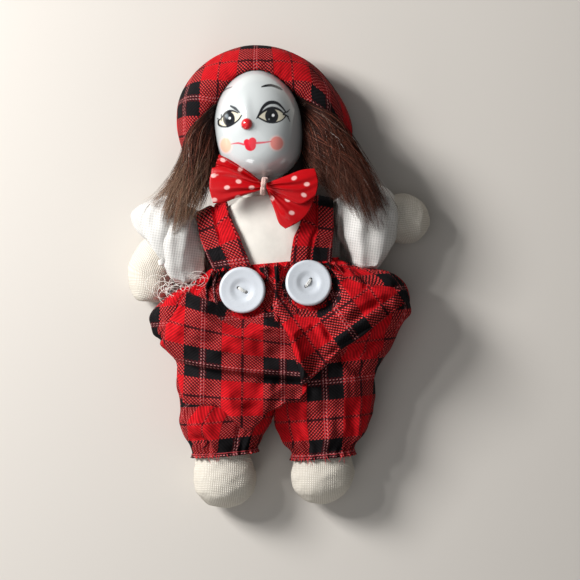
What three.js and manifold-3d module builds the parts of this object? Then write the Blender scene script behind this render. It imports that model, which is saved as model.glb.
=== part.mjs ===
// Porcelain clown doll, lying on its back.
// Millimetres. +Y runs from the feet to the head, +X to the doll's own left, +Z out of the chest.
// The origin is on the floor, under the seat of the trousers.

import * as THREE from 'three';
import { mergeVertices } from 'three/addons/utils/BufferGeometryUtils.js';
import Module from 'manifold-3d';

const wasm = await Module();
wasm.setup();

// Clearances
const gap = 0.3; // between a piece and its neighbour
const boreEase = 0.45; // more room in a bore with few faces, whose flats lie nearer the middle
const floor = 0; // soft forms are pressed flat here

// Torso
const hipLine = -20; // y of the hip axis
const hipHeight = 10; // z of the hip axis
const hipEdge = 3; // thickness of the flattened edge of the bag along the hip axis
const hipRunOut = 2.3; // from the hip axis to the top of each leg
const torsoTop = 39.5; // y of the neck opening of the bag
const torsoMiddle = 13; // z of the middle of the chest
const torsoWidth = 37.6;
const torsoDepth = 21;
const clothThickness = 0.8;

// Neck
const neckHeight = 15.5; // z of the neck axis
const neckPivot = 37.5; // y of the nodding axis
const neckBall = 6; // radius of the round foot of the cuff
const neckRadius = 5.9; // porcelain neck
const neckGroove = 0.9; // depth of the groove that the cord draws the cuff into
const neckEnd = 42.6; // y of the bottom edge of the porcelain neck
const grooveLine = 44.4; // y of the middle of the groove
const cuffTop = 46.3;
const cuffWall = 1.1;
const cuffRoom = 0.5; // between the porcelain neck and the cuff
const cordRadius = 0.55;

// Head
const headHeight = 18; // z of the middle of the head
const headTop = 80.4;
const chinLine = 47;
const headWidth = 27.2;
const headDepth = 28;
const porcelainWall = 1.6;
const noseHeight = 1.5;
const noseLine = 62.1;
const noseSpread = 2.4;
const faceTurn = THREE.MathUtils.degToRad(12); // the face looks a little to the doll's right

// Wig and beret
const wigWall = 1.4;
const wigHem = 1.2; // how far the cap shows in front of the band
const napeLine = 51; // y of the lower edge of the cap
const openingMiddle = 64; // y of the middle of the beret's opening
const openingHeight = headHeight - 6.5;
const openingTilt = THREE.MathUtils.degToRad(23);
const bandWidth = 2;
const bandWall = 1.1;
const bandEase = 0.95; // from the wig to the band
const beretMiddle = new THREE.Vector3(1.6, 65.2, headHeight - 9.8);
const beretHalfWidth = 27.9;
const beretAbove = 22.6; // from the middle of the beret to its top edge
const beretBelow = 20.5; // from the middle of the beret to its lower edge, behind the neck
const beretTilt = THREE.MathUtils.degToRad(11);
const beretRoll = THREE.MathUtils.degToRad(-5.2);
const beretWall = 1.3;
const beretPuff = 8.5; // how far the underside rises above the rim

// Shoulders and arms
const shoulderSpan = 53; // between the two shoulder knots
const shoulderLine = 34.5;
const shoulderHeight = 12;
const knotRadius = 3;
const pegRadius = 1.6;
const armRunOut = 2.2; // from the middle of the knot to the top of the arm
const armTopRadius = 5;

// Legs
const hemThreadRadius = 0.45; // thread that gathers each hem

// Straps and buttons
const strapWidth = 9;
const strapThickness = 1.3;
const strapLift = 0.9; // from the bag to the strap
const buttonWidth = 15;
const buttonThickness = 2.6;
const buttonRim = 1.3; // width of the raised rim
const buttonDish = 0.9; // depth of the dished middle
const buttonHole = 1.8;
const buttonHoleSpacing = 3;
const threadRadius = 0.4;

// Waist
const waistLine = 18;
const elasticWidth = 3.2;
const elasticInset = 3.4; // from the waist edge to the middle of the elastic
const elasticThickness = 0.6;

// Bow
const bowKnot = new THREE.Vector3(0.4, 42.9, 28.2);
const bowThickness = 3.4;
const bowCord = 0.75; // radius of the cord tied round the middle
const bowTieHeight = 3; // from the knot to the top and bottom of the cord
const bowTieFront = 2.5; // from the knot to the front of the cord

// Faces round and along a form. Forms that lie inside one another share the steps along it.
const seen = { sides: 16, steps: 8 };
const inner = { sides: 12, steps: 8 };
const liningGap = 0.5; // between the filling and its cloth
const fillingRunOut = 3.2; // from the sewn edge at the hip to the filling
const thinnest = 0.15; // half the least thickness of a form

const colours = {
  porcelain: [0xf2f4f3, 0.12, 0],
  plaid: [0xb3161a, 0.85, 0],
  cotton: [0xeee6d8, 0.9, 0],
  knit: [0xe6dcc8, 0.95, 0],
  gauze: [0xf4f2ee, 0.9, 0],
  satin: [0xc40f17, 0.35, 0],
  cord: [0xf3c9b8, 0.7, 0],
  hair: [0x4a2820, 0.6, 0],
  button: [0xe9edee, 0.3, 0],
  thread: [0xf5f3ee, 0.8, 0],
  filling: [0xf7f5f0, 1, 0],
  elastic: [0xffffff, 0.8, 0],
};

// Closed meshes

function volumeOf(positions, index) {
  const [a, b, c] = [new THREE.Vector3(), new THREE.Vector3(), new THREE.Vector3()];
  let volume = 0;
  for (let i = 0; i < index.length; i += 3) {
    a.fromArray(positions, index[i] * 3);
    b.fromArray(positions, index[i + 1] * 3);
    c.fromArray(positions, index[i + 2] * 3);
    volume += a.dot(b.cross(c)) / 6;
  }
  return volume;
}

function meshFrom(points, index) {
  const positions = points.flatMap((p) => [p.x, p.y, p.z]);
  if (volumeOf(positions, index) < 0) {
    for (let i = 0; i < index.length; i += 3) {
      [index[i + 1], index[i + 2]] = [index[i + 2], index[i + 1]];
    }
  }
  const geometry = new THREE.BufferGeometry();
  geometry.setAttribute('position', new THREE.Float32BufferAttribute(positions, 3));
  geometry.setIndex(index);
  return geometry;
}

// A skin through rings of points. It is closed by a cap at each end, or by joining the last ring
// to the first.
function loft(rings, joined = false) {
  const sides = rings[0].length;
  const points = rings.flat();
  const index = [];
  const bands = joined ? rings.length : rings.length - 1;
  for (let r = 0; r < bands; r += 1) {
    for (let s = 0; s < sides; s += 1) {
      const next = (s + 1) % sides;
      const above = ((r + 1) % rings.length) * sides;
      const a = r * sides + s;
      const b = r * sides + next;
      index.push(a, b, above + next, a, above + next, above + s);
    }
  }
  if (!joined) {
    for (const start of [0, (rings.length - 1) * sides]) {
      const middle = new THREE.Vector3();
      for (let s = 0; s < sides; s += 1) middle.addScaledVector(points[start + s], 1 / sides);
      points.push(middle);
      for (let s = 0; s < sides; s += 1) {
        const edge = [start + s, start + ((s + 1) % sides)];
        index.push(points.length - 1, ...(start === 0 ? edge.reverse() : edge));
      }
    }
  }
  return meshFrom(points, index);
}

function toSolid(geometry) {
  const bare = geometry.index ? geometry.clone() : geometry;
  bare.deleteAttribute('normal');
  bare.deleteAttribute('uv');
  const merged = mergeVertices(bare, 1e-4);
  return new wasm.Manifold(new wasm.Mesh({
    numProp: 3,
    vertProperties: Float32Array.from(merged.attributes.position.array),
    triVerts: Uint32Array.from(merged.index.array),
  }));
}

// The largest single body of a solid, without the crumbs that a cut may leave.
function toGeometry(solid) {
  const bodies = solid.decompose().sort((a, b) => b.volume() - a.volume());
  const mesh = bodies[0].getMesh();
  const geometry = new THREE.BufferGeometry();
  geometry.setAttribute('position', new THREE.Float32BufferAttribute(mesh.vertProperties, 3));
  geometry.setIndex(Array.from(mesh.triVerts));
  return geometry;
}

function cut(geometry, ...tools) {
  return toGeometry(tools.reduce((solid, tool) => solid.subtract(toSolid(tool)), toSolid(geometry)));
}

function join(geometry, ...others) {
  return toGeometry(others.reduce((solid, other) => solid.add(toSolid(other)), toSolid(geometry)));
}

// Soft forms
// A station is [x, y, z, half width, half depth]: the middle of a cross-section and its reach.

function stationAt(stations, t) {
  const last = stations.length - 1;
  const i = Math.min(Math.max(Math.floor(t), 0), last - 1);
  const u = t - i;
  const [a, b, c, d] = [i - 1, i, i + 1, i + 2].map((k) => stations[Math.min(Math.max(k, 0), last)]);
  return b.map((value, n) => {
    const slope = c[n] - a[n];
    const bend = 2 * a[n] - 5 * value + 4 * c[n] - d[n];
    const twist = 3 * (value - c[n]) + d[n] - a[n];
    return value + 0.5 * (slope * u + bend * u * u + twist * u * u * u);
  });
}

function onSuperellipse(angle, halfWidth, halfDepth, square) {
  const power = 2 / square;
  const c = Math.cos(angle);
  const s = Math.sin(angle);
  return [Math.sign(c) * Math.abs(c) ** power * halfWidth, Math.sign(s) * Math.abs(s) ** power * halfDepth];
}

// Cross-sections along the stations. Upright ones stay square to Y, the others to the line itself.
// grow moves the whole skin out, and openStart moves the first end out by itself, to cut an opening.
// ripple(angle, t) scales the reach, for gathers and folds.
function formRings(stations, options = {}) {
  const { steps = 12, sides = 24, grow = 0, square = 2.2, upright = true } = options;
  const { lowest = null, ripple = null, openStart = 0 } = options;
  const last = stations.length - 1;
  const rings = [];
  for (let k = 0; k <= steps; k += 1) {
    const t = (k / steps) * last;
    const [x, y, z, w, d] = stationAt(stations, t);
    const ahead = stationAt(stations, Math.min(t + 0.01, last));
    const behind = stationAt(stations, Math.max(t - 0.01, 0));
    const along = new THREE.Vector3(ahead[0] - behind[0], ahead[1] - behind[1], ahead[2] - behind[2]);
    if (upright) along.set(0, Math.sign(stations[last][1] - stations[0][1]) * Math.abs(along.y), 0);
    // A grown skin moves out square to the surface: partly outward and partly along the line.
    const slope = (ahead[3] + ahead[4] - behind[3] - behind[4]) / 2 / along.length();
    const outward = grow / Math.hypot(1, slope);
    along.normalize();
    const across = new THREE.Vector3().crossVectors(along, new THREE.Vector3(0, 0, 1)).normalize();
    const up = new THREE.Vector3().crossVectors(across, along);
    const middle = new THREE.Vector3(x, y, z);
    if (k === 0) middle.addScaledVector(along, openStart ? -openStart : -grow);
    else if (k === steps) middle.addScaledVector(along, grow);
    else middle.addScaledVector(along, -outward * slope);
    const ring = [];
    for (let s = 0; s < sides; s += 1) {
      const angle = (s / sides) * Math.PI * 2;
      const swell = ripple ? ripple(angle, k / steps) : 1;
      const halfWidth = Math.max(w * swell + outward, thinnest);
      const halfDepth = Math.max(d * swell + outward, thinnest);
      const [u, v] = onSuperellipse(angle, halfWidth, halfDepth, square);
      const point = middle.clone().addScaledVector(across, u).addScaledVector(up, v);
      if (lowest !== null) point.z = Math.max(point.z, lowest);
      ring.push(point);
    }
    rings.push(ring);
  }
  return rings;
}

const form = (stations, options) => loft(formRings(stations, options));

// True where a point lies inside an upright form.
function isInside(stations, square, point) {
  const last = stations.length - 1;
  const rising = stations[last][1] > stations[0][1];
  let low = 0;
  let high = last;
  for (let i = 0; i < 24; i += 1) {
    const middle = (low + high) / 2;
    if ((stationAt(stations, middle)[1] < point.y) === rising) low = middle;
    else high = middle;
  }
  const [x, y, z, w, d] = stationAt(stations, low);
  if (Math.abs(y - point.y) > 0.05) return false;
  return Math.abs((point.x - x) / w) ** square + Math.abs((point.z - z) / d) ** square < 1;
}

// How far the skin of a form lies from a point inside it.
function reachTo(stations, square, from, direction) {
  let low = 0;
  let high = 60;
  for (let i = 0; i < 30; i += 1) {
    const middle = (low + high) / 2;
    if (isInside(stations, square, from.clone().addScaledVector(direction, middle))) low = middle;
    else high = middle;
  }
  return low;
}

function tube(points, radius, sides = 8, closed = false) {
  const section = new THREE.Shape();
  for (let s = 0; s < sides; s += 1) {
    const angle = (s / sides) * Math.PI * 2;
    const at = [radius * Math.cos(angle), radius * Math.sin(angle)];
    if (s === 0) section.moveTo(...at);
    else section.lineTo(...at);
  }
  section.closePath();
  const path = new THREE.CatmullRomCurve3(points, closed, 'centripetal');
  const options = { steps: points.length * 2, bevelEnabled: false, extrudePath: path };
  return new THREE.ExtrudeGeometry(section, options);
}

// A ring of round section that follows a closed loop of points.
function loopRing(points, middle, axis, halfAlong, halfOut, sides = 8) {
  const rings = points.map((point) => {
    const out = point.clone().sub(middle);
    out.addScaledVector(axis, -out.dot(axis)).normalize();
    return Array.from({ length: sides }, (_, s) => {
      const angle = (s / sides) * Math.PI * 2;
      return point.clone()
        .addScaledVector(out, halfOut * Math.cos(angle))
        .addScaledVector(axis, halfAlong * Math.sin(angle));
    });
  });
  return loft(rings, true);
}

function turned(profile, sides = 32) {
  return new THREE.LatheGeometry(profile.map(([r, y]) => new THREE.Vector2(r, y)), sides);
}

function moved(geometry, x, y, z) {
  return geometry.clone().translate(x, y, z);
}

function mesh(name, geometry, colour) {
  const [hex, roughness, metalness] = colours[colour];
  const material = new THREE.MeshStandardMaterial({ color: hex, roughness, metalness });
  const piece = new THREE.Mesh(geometry, material);
  piece.name = name;
  return piece;
}

function ball(radius, x, y, z) {
  return moved(new THREE.SphereGeometry(radius, 14, 7), x, y, z);
}

// Torso: a cotton bag, wedge-shaped at the hips so that the legs can fold

const torsoLength = torsoTop - hipLine;
const hipHalf = hipEdge / 2;
const torsoStations = [
  [0, hipLine - hipHalf * 0.8, hipHeight, torsoWidth * 0.5, hipHalf * 0.6],
  [0, hipLine + 3.5, hipHeight + 0.3, torsoWidth * 0.51, hipHalf + 2.4],
  [0, hipLine + 9, hipHeight + 1.2, torsoWidth * 0.52, hipHalf + 6.4],
  [0, hipLine + torsoLength * 0.36, torsoMiddle - 0.6, torsoWidth * 0.51, torsoDepth * 0.475],
  [0, hipLine + torsoLength * 0.58, torsoMiddle, torsoWidth * 0.49, torsoDepth * 0.5],
  [0, hipLine + torsoLength * 0.8, torsoMiddle, torsoWidth * 0.5, torsoDepth * 0.48],
  [0, hipLine + torsoLength * 0.91, torsoMiddle + 0.6, torsoWidth * 0.47, torsoDepth * 0.42],
  [0, hipLine + torsoLength * 0.97, torsoMiddle + 1.8, torsoWidth * 0.38, torsoDepth * 0.37],
  [0, torsoTop, torsoMiddle + 2.8, torsoWidth * 0.27, torsoDepth * 0.335],
];
const torsoSquare = 2.4;
const torsoForm = (grow, faces = seen) => form(torsoStations, { ...faces, grow, square: torsoSquare });

function neckSpace(radius) {
  return ball(radius, 0, neckPivot, neckHeight);
}

function openTop(grow) {
  const [, y, z, w, d] = torsoStations[torsoStations.length - 1];
  const mouth = [[0, y - 2, z, w + grow, d + grow], [0, y + 2, z, w + grow, d + grow]];
  return form(mouth, { steps: 1, sides: inner.sides, square: torsoSquare });
}

const peg = (side, radius, from, to) => {
  const length = to - from;
  const rod = new THREE.CylinderGeometry(radius, radius, length, 10);
  rod.rotateZ(Math.PI / 2);
  return moved(rod, side * (from + length / 2), shoulderLine, shoulderHeight);
};

function makeBodyBag() {
  const shoulder = shoulderSpan / 2;
  const pegs = [-1, 1].map((side) => peg(side, pegRadius, torsoWidth * 0.42, shoulder - knotRadius - gap));
  const bag = join(torsoForm(0), ...pegs);
  const hollow = join(torsoForm(-clothThickness, inner), openTop(-clothThickness));
  return cut(bag, hollow, neckSpace(neckBall + gap));
}

function makeBodyStuffing() {
  const filling = torsoForm(-clothThickness - liningGap, inner);
  const edge = moved(new THREE.BoxGeometry(60, 10, 30), 0, hipLine + fillingRunOut - 5, hipHeight);
  return cut(filling, edge, neckSpace(neckBall + gap));
}

// Neck: a cloth cuff gathered into the groove of the porcelain neck by a cord

function neckLathe(profile) {
  return moved(turned(profile, 16), 0, 0, neckHeight);
}

function ballArc(radius, fromDegrees, toDegrees, count) {
  return Array.from({ length: count + 1 }, (_, i) => {
    const angle = THREE.MathUtils.degToRad(fromDegrees + ((toDegrees - fromDegrees) * i) / count);
    return [radius * Math.cos(angle), neckPivot + radius * Math.sin(angle)];
  });
}

function makeNeckCuff() {
  const bore = neckRadius + cuffRoom;
  const boreGroove = bore - neckGroove;
  const outer = bore + cuffWall;
  const arc = ballArc(neckBall, -90, 35, 5);
  arc[0][0] = 0;
  return neckLathe([
    ...arc,
    [outer - 0.7, neckEnd - 1],
    [outer, neckEnd - 0.1],
    [outer, grooveLine - 1.1],
    [outer - neckGroove, grooveLine - 0.5],
    [outer - neckGroove, grooveLine + 0.5],
    [outer, grooveLine + 1.1],
    [outer + 0.4, cuffTop],
    [bore, cuffTop],
    [bore, grooveLine + 1.1],
    [boreGroove, grooveLine + 0.5],
    [boreGroove, grooveLine - 0.5],
    [bore, grooveLine - 1.1],
    [bore, neckEnd - gap],
    [0, neckEnd - gap],
  ]);
}

function makeNeckCord() {
  const around = neckRadius + cuffRoom + cuffWall - neckGroove + gap + cordRadius;
  const ring = new THREE.TorusGeometry(around, cordRadius, 6, 18);
  ring.rotateX(Math.PI / 2);
  return moved(ring, 0, grooveLine, neckHeight);
}

// Head: a hollow porcelain shell with its neck, turned about the neck axis

const headLength = headTop - chinLine;
const skullStations = [
  [0, headTop, headHeight - 0.4, 0.8, 0.8],
  [0, headTop - headLength * 0.035, headHeight - 0.4, headWidth * 0.16, headDepth * 0.16],
  [0, headTop - headLength * 0.12, headHeight - 0.2, headWidth * 0.3, headDepth * 0.3],
  [0, headTop - headLength * 0.25, headHeight, headWidth * 0.42, headDepth * 0.42],
  [0, headTop - headLength * 0.4, headHeight, headWidth * 0.485, headDepth * 0.49],
  [0, headTop - headLength * 0.55, headHeight, headWidth * 0.5, headDepth * 0.5],
  [0, headTop - headLength * 0.7, headHeight, headWidth * 0.485, headDepth * 0.485],
  [0, headTop - headLength * 0.83, headHeight + 0.3, headWidth * 0.41, headDepth * 0.42],
  [0, headTop - headLength * 0.93, headHeight + 0.4, headWidth * 0.3, headDepth * 0.315],
  [0, chinLine, headHeight - 0.6, neckRadius + 0.5, neckRadius + 1.2],
];

function noseSwell(point, out) {
  const turn = Math.atan2(point.x, point.z - headHeight) + faceTurn;
  const sideways = (turn * headDepth) / 2;
  const upward = point.y - noseLine;
  const share = Math.exp(-(sideways * sideways + upward * upward) / (noseSpread * noseSpread));
  return point.addScaledVector(out, noseHeight * share);
}

function neckRings(radius, levels, sides) {
  return levels.map(([inset, y]) => Array.from({ length: sides }, (_, s) => {
    const angle = (s / sides) * Math.PI * 2;
    const r = radius - inset;
    return new THREE.Vector3(r * Math.cos(angle), y, neckHeight + r * Math.sin(angle));
  }));
}

function makeHead() {
  const sides = 22;
  const options = { steps: 12, sides, square: 2 };
  const outside = formRings(skullStations, options).map((ring) => ring.map((point) => {
    const out = new THREE.Vector3(point.x, 0, point.z - headHeight).normalize();
    return noseSwell(point, out);
  }));
  const inside = formRings(skullStations, { ...options, steps: 7, grow: -porcelainWall });
  // The rings of a form that runs toward the feet wind the other way round.
  const wound = (rings) => rings.map((ring) => ring.map((_, s) => ring[(sides - s + sides / 2) % sides]));
  const groove = [[neckGroove, grooveLine + 0.5], [neckGroove, grooveLine - 0.5], [0, grooveLine - 1.1]];
  const levels = [[0, cuffTop], [0, grooveLine + 1.1], ...groove, [0, neckEnd]];
  const outerNeck = neckRings(neckRadius, levels, sides);
  const bore = neckRadius - neckGroove - 1.1;
  const innerNeck = neckRings(bore, [[0, neckEnd], [0, chinLine]], sides);
  const cavity = wound(inside.slice(1, -1)).reverse();
  return loft([...wound(outside), ...outerNeck, ...innerNeck, ...cavity]);
}

const skullForm = (grow) => form(skullStations, { ...seen, grow, square: 2 });

// Wig: a cap glued to the back of the head, with a lock that falls on each side of the face

const wigInside = gap + boreEase;
const openingUp = new THREE.Vector3(0, Math.cos(openingTilt), Math.sin(openingTilt));
const openingOut = new THREE.Vector3(0, -Math.sin(openingTilt), Math.cos(openingTilt));
const openingCentre = new THREE.Vector3(0, openingMiddle, openingHeight);

// A large block whose lower face is the plane of the opening, raised by a distance.
function beyondOpening(distance) {
  const reach = 80;
  const block = new THREE.BoxGeometry(reach, reach, reach);
  block.rotateX(openingTilt);
  const at = openingCentre.clone().addScaledVector(openingOut, distance + reach / 2);
  return moved(block, at.x, at.y, at.z);
}

function makeWigCap() {
  const block = 60;
  const below = moved(new THREE.BoxGeometry(block, block, block), 0, napeLine - block / 2, headHeight);
  const whole = skullForm(wigInside + wigWall);
  return cut(whole, skullForm(wigInside), beyondOpening(bandWidth / 2 + wigHem), below);
}

// Beret: a crown and an underside sewn together at the rim, gathered into a band on the wig

// Where the outside of the wig meets the opening, at an angle round it, plus a distance.
function openingPoint(angle, distance) {
  const direction = new THREE.Vector3(Math.cos(angle), 0, 0).addScaledVector(openingUp, Math.sin(angle));
  const reach = reachTo(skullStations, 2, openingCentre, direction) + wigInside + wigWall + distance;
  return openingCentre.clone().addScaledVector(direction, reach);
}

const beretSides = 24;
const beretAngles = Array.from({ length: beretSides }, (_, s) => (s / beretSides) * Math.PI * 2);

// A point of the rim of the beret, drawn in by a share and lifted.
function rimPoint(angle, share, lift) {
  const tall = Math.sin(angle) > 0 ? beretAbove : beretBelow;
  const [across, up] = [Math.cos(angle) * beretHalfWidth, Math.sin(angle) * tall];
  const flat = new THREE.Vector3(across * share, up * share, lift);
  flat.applyAxisAngle(new THREE.Vector3(0, 0, 1), beretRoll);
  flat.applyAxisAngle(new THREE.Vector3(1, 0, 0), beretTilt);
  return flat.add(beretMiddle);
}

function makeBeretBand(grow = 0) {
  const points = beretAngles.map((angle) => openingPoint(angle, bandEase + bandWall / 2));
  return loopRing(points, openingCentre, openingOut, bandWidth / 2 + grow, bandWall / 2 + grow, 6);
}

function makeBeretUnderside() {
  const outer = beretAngles.map((angle) => rimPoint(angle, 1, gap / 2));
  const tucked = beretAngles.map((angle) => rimPoint(angle, 1 - beretWall / beretHalfWidth, gap / 2));
  const band = beretAngles.map((angle) => openingPoint(angle, bandEase + bandWall + gap));
  // The cloth puffs out most beside the head and least behind the neck.
  const puffs = beretAngles.map((angle, s) => {
    const across = band[s].clone().sub(outer[s]).normalize();
    const out = openingOut.clone().addScaledVector(openingUp, 0.6);
    out.addScaledVector(across, -out.dot(across)).normalize();
    return out.multiplyScalar(beretPuff * (0.28 + 0.72 * Math.cos(angle) ** 2));
  });
  const profile = [[0.04, 0.42], [0.2, 0.84], [0.46, 1], [0.72, 0.86], [1, 0.2]];
  const outside = [outer, ...profile.map(([share, lift]) => outer.map((point, s) => (
    point.clone().lerp(band[s], share).addScaledVector(puffs[s], lift)
  )))];
  // The lining lies under the outside, square to its surface.
  const inside = outside.slice(1).map((ring, i) => ring.map((point, s) => {
    const onward = (outside[i + 2] ?? ring)[s].clone().sub(outside[i][s]);
    const round = ring[(s + 1) % beretSides].clone().sub(ring.at(s - 1));
    const nape = 0.5 - 0.5 * Math.sin(beretAngles[s]);
    const wall = beretWall * (1 - 0.5 * nape * nape);
    return point.clone().addScaledVector(round.cross(onward).normalize(), -wall);
  })).reverse();
  return cut(loft([...outside, ...inside, tucked], true), makeBeretBand(gap));
}

function makeBeretCrown() {
  const profile = [[1, -gap / 2], [0.985, -2.2], [0.93, -4.6], [0.82, -6.6], [0.6, -8.4], [0.02, -9]];
  const layer = (inset) => profile.map(([share, drop]) => beretAngles.map((angle) => {
    const point = rimPoint(angle, share - inset / beretHalfWidth, drop);
    point.z = Math.max(point.z, floor + inset);
    return point;
  }));
  const outside = layer(0);
  const inside = layer(beretWall);
  inside[0] = beretAngles.map((angle) => rimPoint(angle, 1 - beretWall / beretHalfWidth, -gap / 2));
  inside[inside.length - 1] = beretAngles.map((angle) => {
    const point = rimPoint(angle, 0.02, -9);
    point.z = floor + beretWall;
    return point;
  });
  const shell = loft([...outside.reverse(), ...inside]);
  return cut(shell, skullForm(wigInside + wigWall + gap), makeBeretBand(gap));
}

// Trousers

const seatSquare = 2.4;
const seatStations = [
  [-1.2, -8, 9.4, 33.6, 9.9],
  [0.6, -3, 10.2, 37.4, 10.7],
  [1.8, 2.5, 11, 39.8, 11.5],
  [2.4, 8, 12, 36.6, 12.5],
  [2.2, 13, 12.9, 29.5, 13.4],
  [1, waistLine, 13.2, 22.6, 13.6],
];

function gathers(count, depth) {
  return (angle, t) => 1 + depth * t * t * Math.cos(count * angle);
}

const seatForm = (grow) => (
  form(seatStations, {
    grow,
    steps: 7,
    sides: 24,
    square: seatSquare,
    lowest: floor,
    ripple: gathers(12, 0.02),
  })
);

const blouseStations = [
  [-36.5, 1.5, 14.5, 2.6, 3.4],
  [-31, 0, 17.2, 7.5, 6],
  [-21, -2.5, 19.8, 9.8, 6.9],
  [-8, -5, 21, 11, 7],
  [5, -6.5, 21.6, 12.2, 7.2],
  [15, -5.5, 21.2, 11.6, 7],
  [25, -1.5, 19.6, 9.6, 6.7],
  [34, 1.5, 16.6, 7, 6],
  [40, 2.8, 14, 2.6, 3.6],
];

const blouseForm = (grow) => {
  const folds = (angle, t) => 1 + 0.05 * Math.cos(3 * angle + 5 * t) + 0.03 * Math.cos(5 * angle - 9 * t);
  return form(blouseStations, { grow, steps: 12, sides: 16, square: 2.4, upright: false, ripple: folds });
};

// A flat band that draws in the back of the waist, in a channel open toward the bag.
function makeWaistElastic(grow = 0) {
  const line = waistLine - elasticInset;
  const torso = torsoStations[4];
  const steps = 12;
  const rings = Array.from({ length: steps + 1 }, (_, k) => {
    const angle = THREE.MathUtils.degToRad(195 + (150 * k) / steps);
    const end = k === 0 || k === steps ? grow : 0;
    const at = (out) => {
      const [x, z] = onSuperellipse(angle, torso[3] + out, torso[4] + out, torsoSquare);
      return new THREE.Vector3(x + Math.sign(x) * end, line, torsoMiddle + z);
    };
    const near = at(gap + boreEase - grow);
    const far = at(gap + boreEase + elasticThickness + grow);
    const half = new THREE.Vector3(0, elasticWidth / 2 + grow, 0);
    return [near.clone().add(half), far.clone().add(half), far.clone().sub(half), near.clone().sub(half)];
  });
  return loft(rings);
}

// Straps: flat bands that follow the torso from the waist, over the shoulder and down the back

const strapCentre = new THREE.Vector3(0, 20, torsoMiddle);
const strapFoot = { right: 10.8, left: 12.4 };
const strapShoulder = 15.8;

function makeStrap(side, foot, grow = 0) {
  const degrees = [133, 124, 114, 103, 90, 76, 62, 49, 37, 25, 12, 0, -12, -25, -37, -49, -62, -76, -90];
  const columns = [-1, 0, 1];
  const rings = degrees.map((degree, k) => {
    const angle = THREE.MathUtils.degToRad(degree);
    const rise = Math.max(Math.cos(angle) + 0.6, 0) / 1.6;
    const middle = foot + (strapShoulder - foot) * rise;
    const out = new THREE.Vector3(0, Math.cos(angle), Math.sin(angle));
    const along = new THREE.Vector3(0, Math.sin(angle), -Math.cos(angle));
    if (k === 0) along.multiplyScalar(-grow);
    else along.multiplyScalar(k === degrees.length - 1 ? grow : 0);
    const place = (column, offset) => {
      const x = side * (middle + column * (strapWidth / 2 + grow));
      const held = Math.min(Math.abs(x), torsoWidth * 0.36);
      const from = new THREE.Vector3(held, strapCentre.y, strapCentre.z);
      const reach = reachTo(torsoStations, torsoSquare, from, out) + offset;
      return new THREE.Vector3(x, strapCentre.y, strapCentre.z).addScaledVector(out, reach).add(along);
    };
    const under = columns.map((column) => place(column, strapLift - grow));
    const over = columns.map((column) => place(column, strapLift + strapThickness + grow)).reverse();
    return [...under, ...over];
  });
  return loft(rings);
}

// Buttons, dished in front, with two holes, sewn on with a thread

const buttonPlaces = {
  right: { at: new THREE.Vector3(-9.4, 12.1, 27.2), tilt: [0.06, -0.08] },
  left: { at: new THREE.Vector3(11, 12.4, 27.2), tilt: [-0.16, 0.1] },
};

function placeButtonWise(geometry, { at, tilt }) {
  const placed = geometry.clone();
  placed.rotateX(tilt[0]);
  placed.rotateY(tilt[1]);
  return moved(placed, at.x, at.y, at.z);
}

function makeButton(place) {
  const radius = buttonWidth / 2;
  const half = buttonThickness / 2;
  const disc = turned([
    [0, -half],
    [radius - 0.9, -half],
    [radius - 0.2, -half + 0.5],
    [radius, 0],
    [radius - 0.15, half - 0.5],
    [radius - 0.6, half],
    [radius - buttonRim, half],
    [radius - buttonRim - 0.9, half - buttonDish],
    [0, half - buttonDish],
  ], 26);
  disc.rotateX(Math.PI / 2);
  const holes = [-1, 1].map((side) => {
    const drill = new THREE.CylinderGeometry(buttonHole / 2, buttonHole / 2, buttonThickness * 3, 10);
    drill.rotateX(Math.PI / 2);
    return moved(drill, (side * buttonHoleSpacing) / 2, 0, 0);
  });
  return placeButtonWise(cut(disc, ...holes), place);
}

function buttonRoom(place) {
  const half = buttonThickness / 2 + gap;
  const radius = buttonWidth / 2 + gap;
  const room = turned([[0, -half], [radius, -half], [radius, half * 4], [0, half * 4]], 20);
  room.rotateX(Math.PI / 2);
  return placeButtonWise(room, place);
}

function makeButtonThread(place) {
  const across = buttonHoleSpacing / 2;
  const low = -buttonThickness / 2;
  const high = buttonThickness / 2 - buttonDish + gap + threadRadius;
  const points = [
    new THREE.Vector3(-across, 0, low),
    new THREE.Vector3(-across, 0, high - 0.9),
    new THREE.Vector3(-across * 0.55, 0, high),
    new THREE.Vector3(across * 0.55, 0, high),
    new THREE.Vector3(across, 0, high - 0.9),
    new THREE.Vector3(across, 0, low),
  ];
  return placeButtonWise(tube(points, threadRadius, 6), place);
}

// Bow: satin loops and tails pinched by a cord

function bowPiece(outline, grow = 0) {
  const [first] = outline;
  const pinch = [bowKnot.x + first[0], bowKnot.y + first[1], bowKnot.z, first[2], first[3]];
  const { x: knotX, y: knotY, z: knotZ } = bowKnot;
  const rest = outline.slice(1).map(([x, y, z, w, d]) => [knotX + x, knotY + y, knotZ + z, w, d]);
  const folds = (angle, t) => 1 + 0.09 * (1 - t) * Math.cos(4 * angle);
  return form([pinch, ...rest], { grow, steps: 7, sides: 14, square: 2.3, upright: false, ripple: folds });
}

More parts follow.
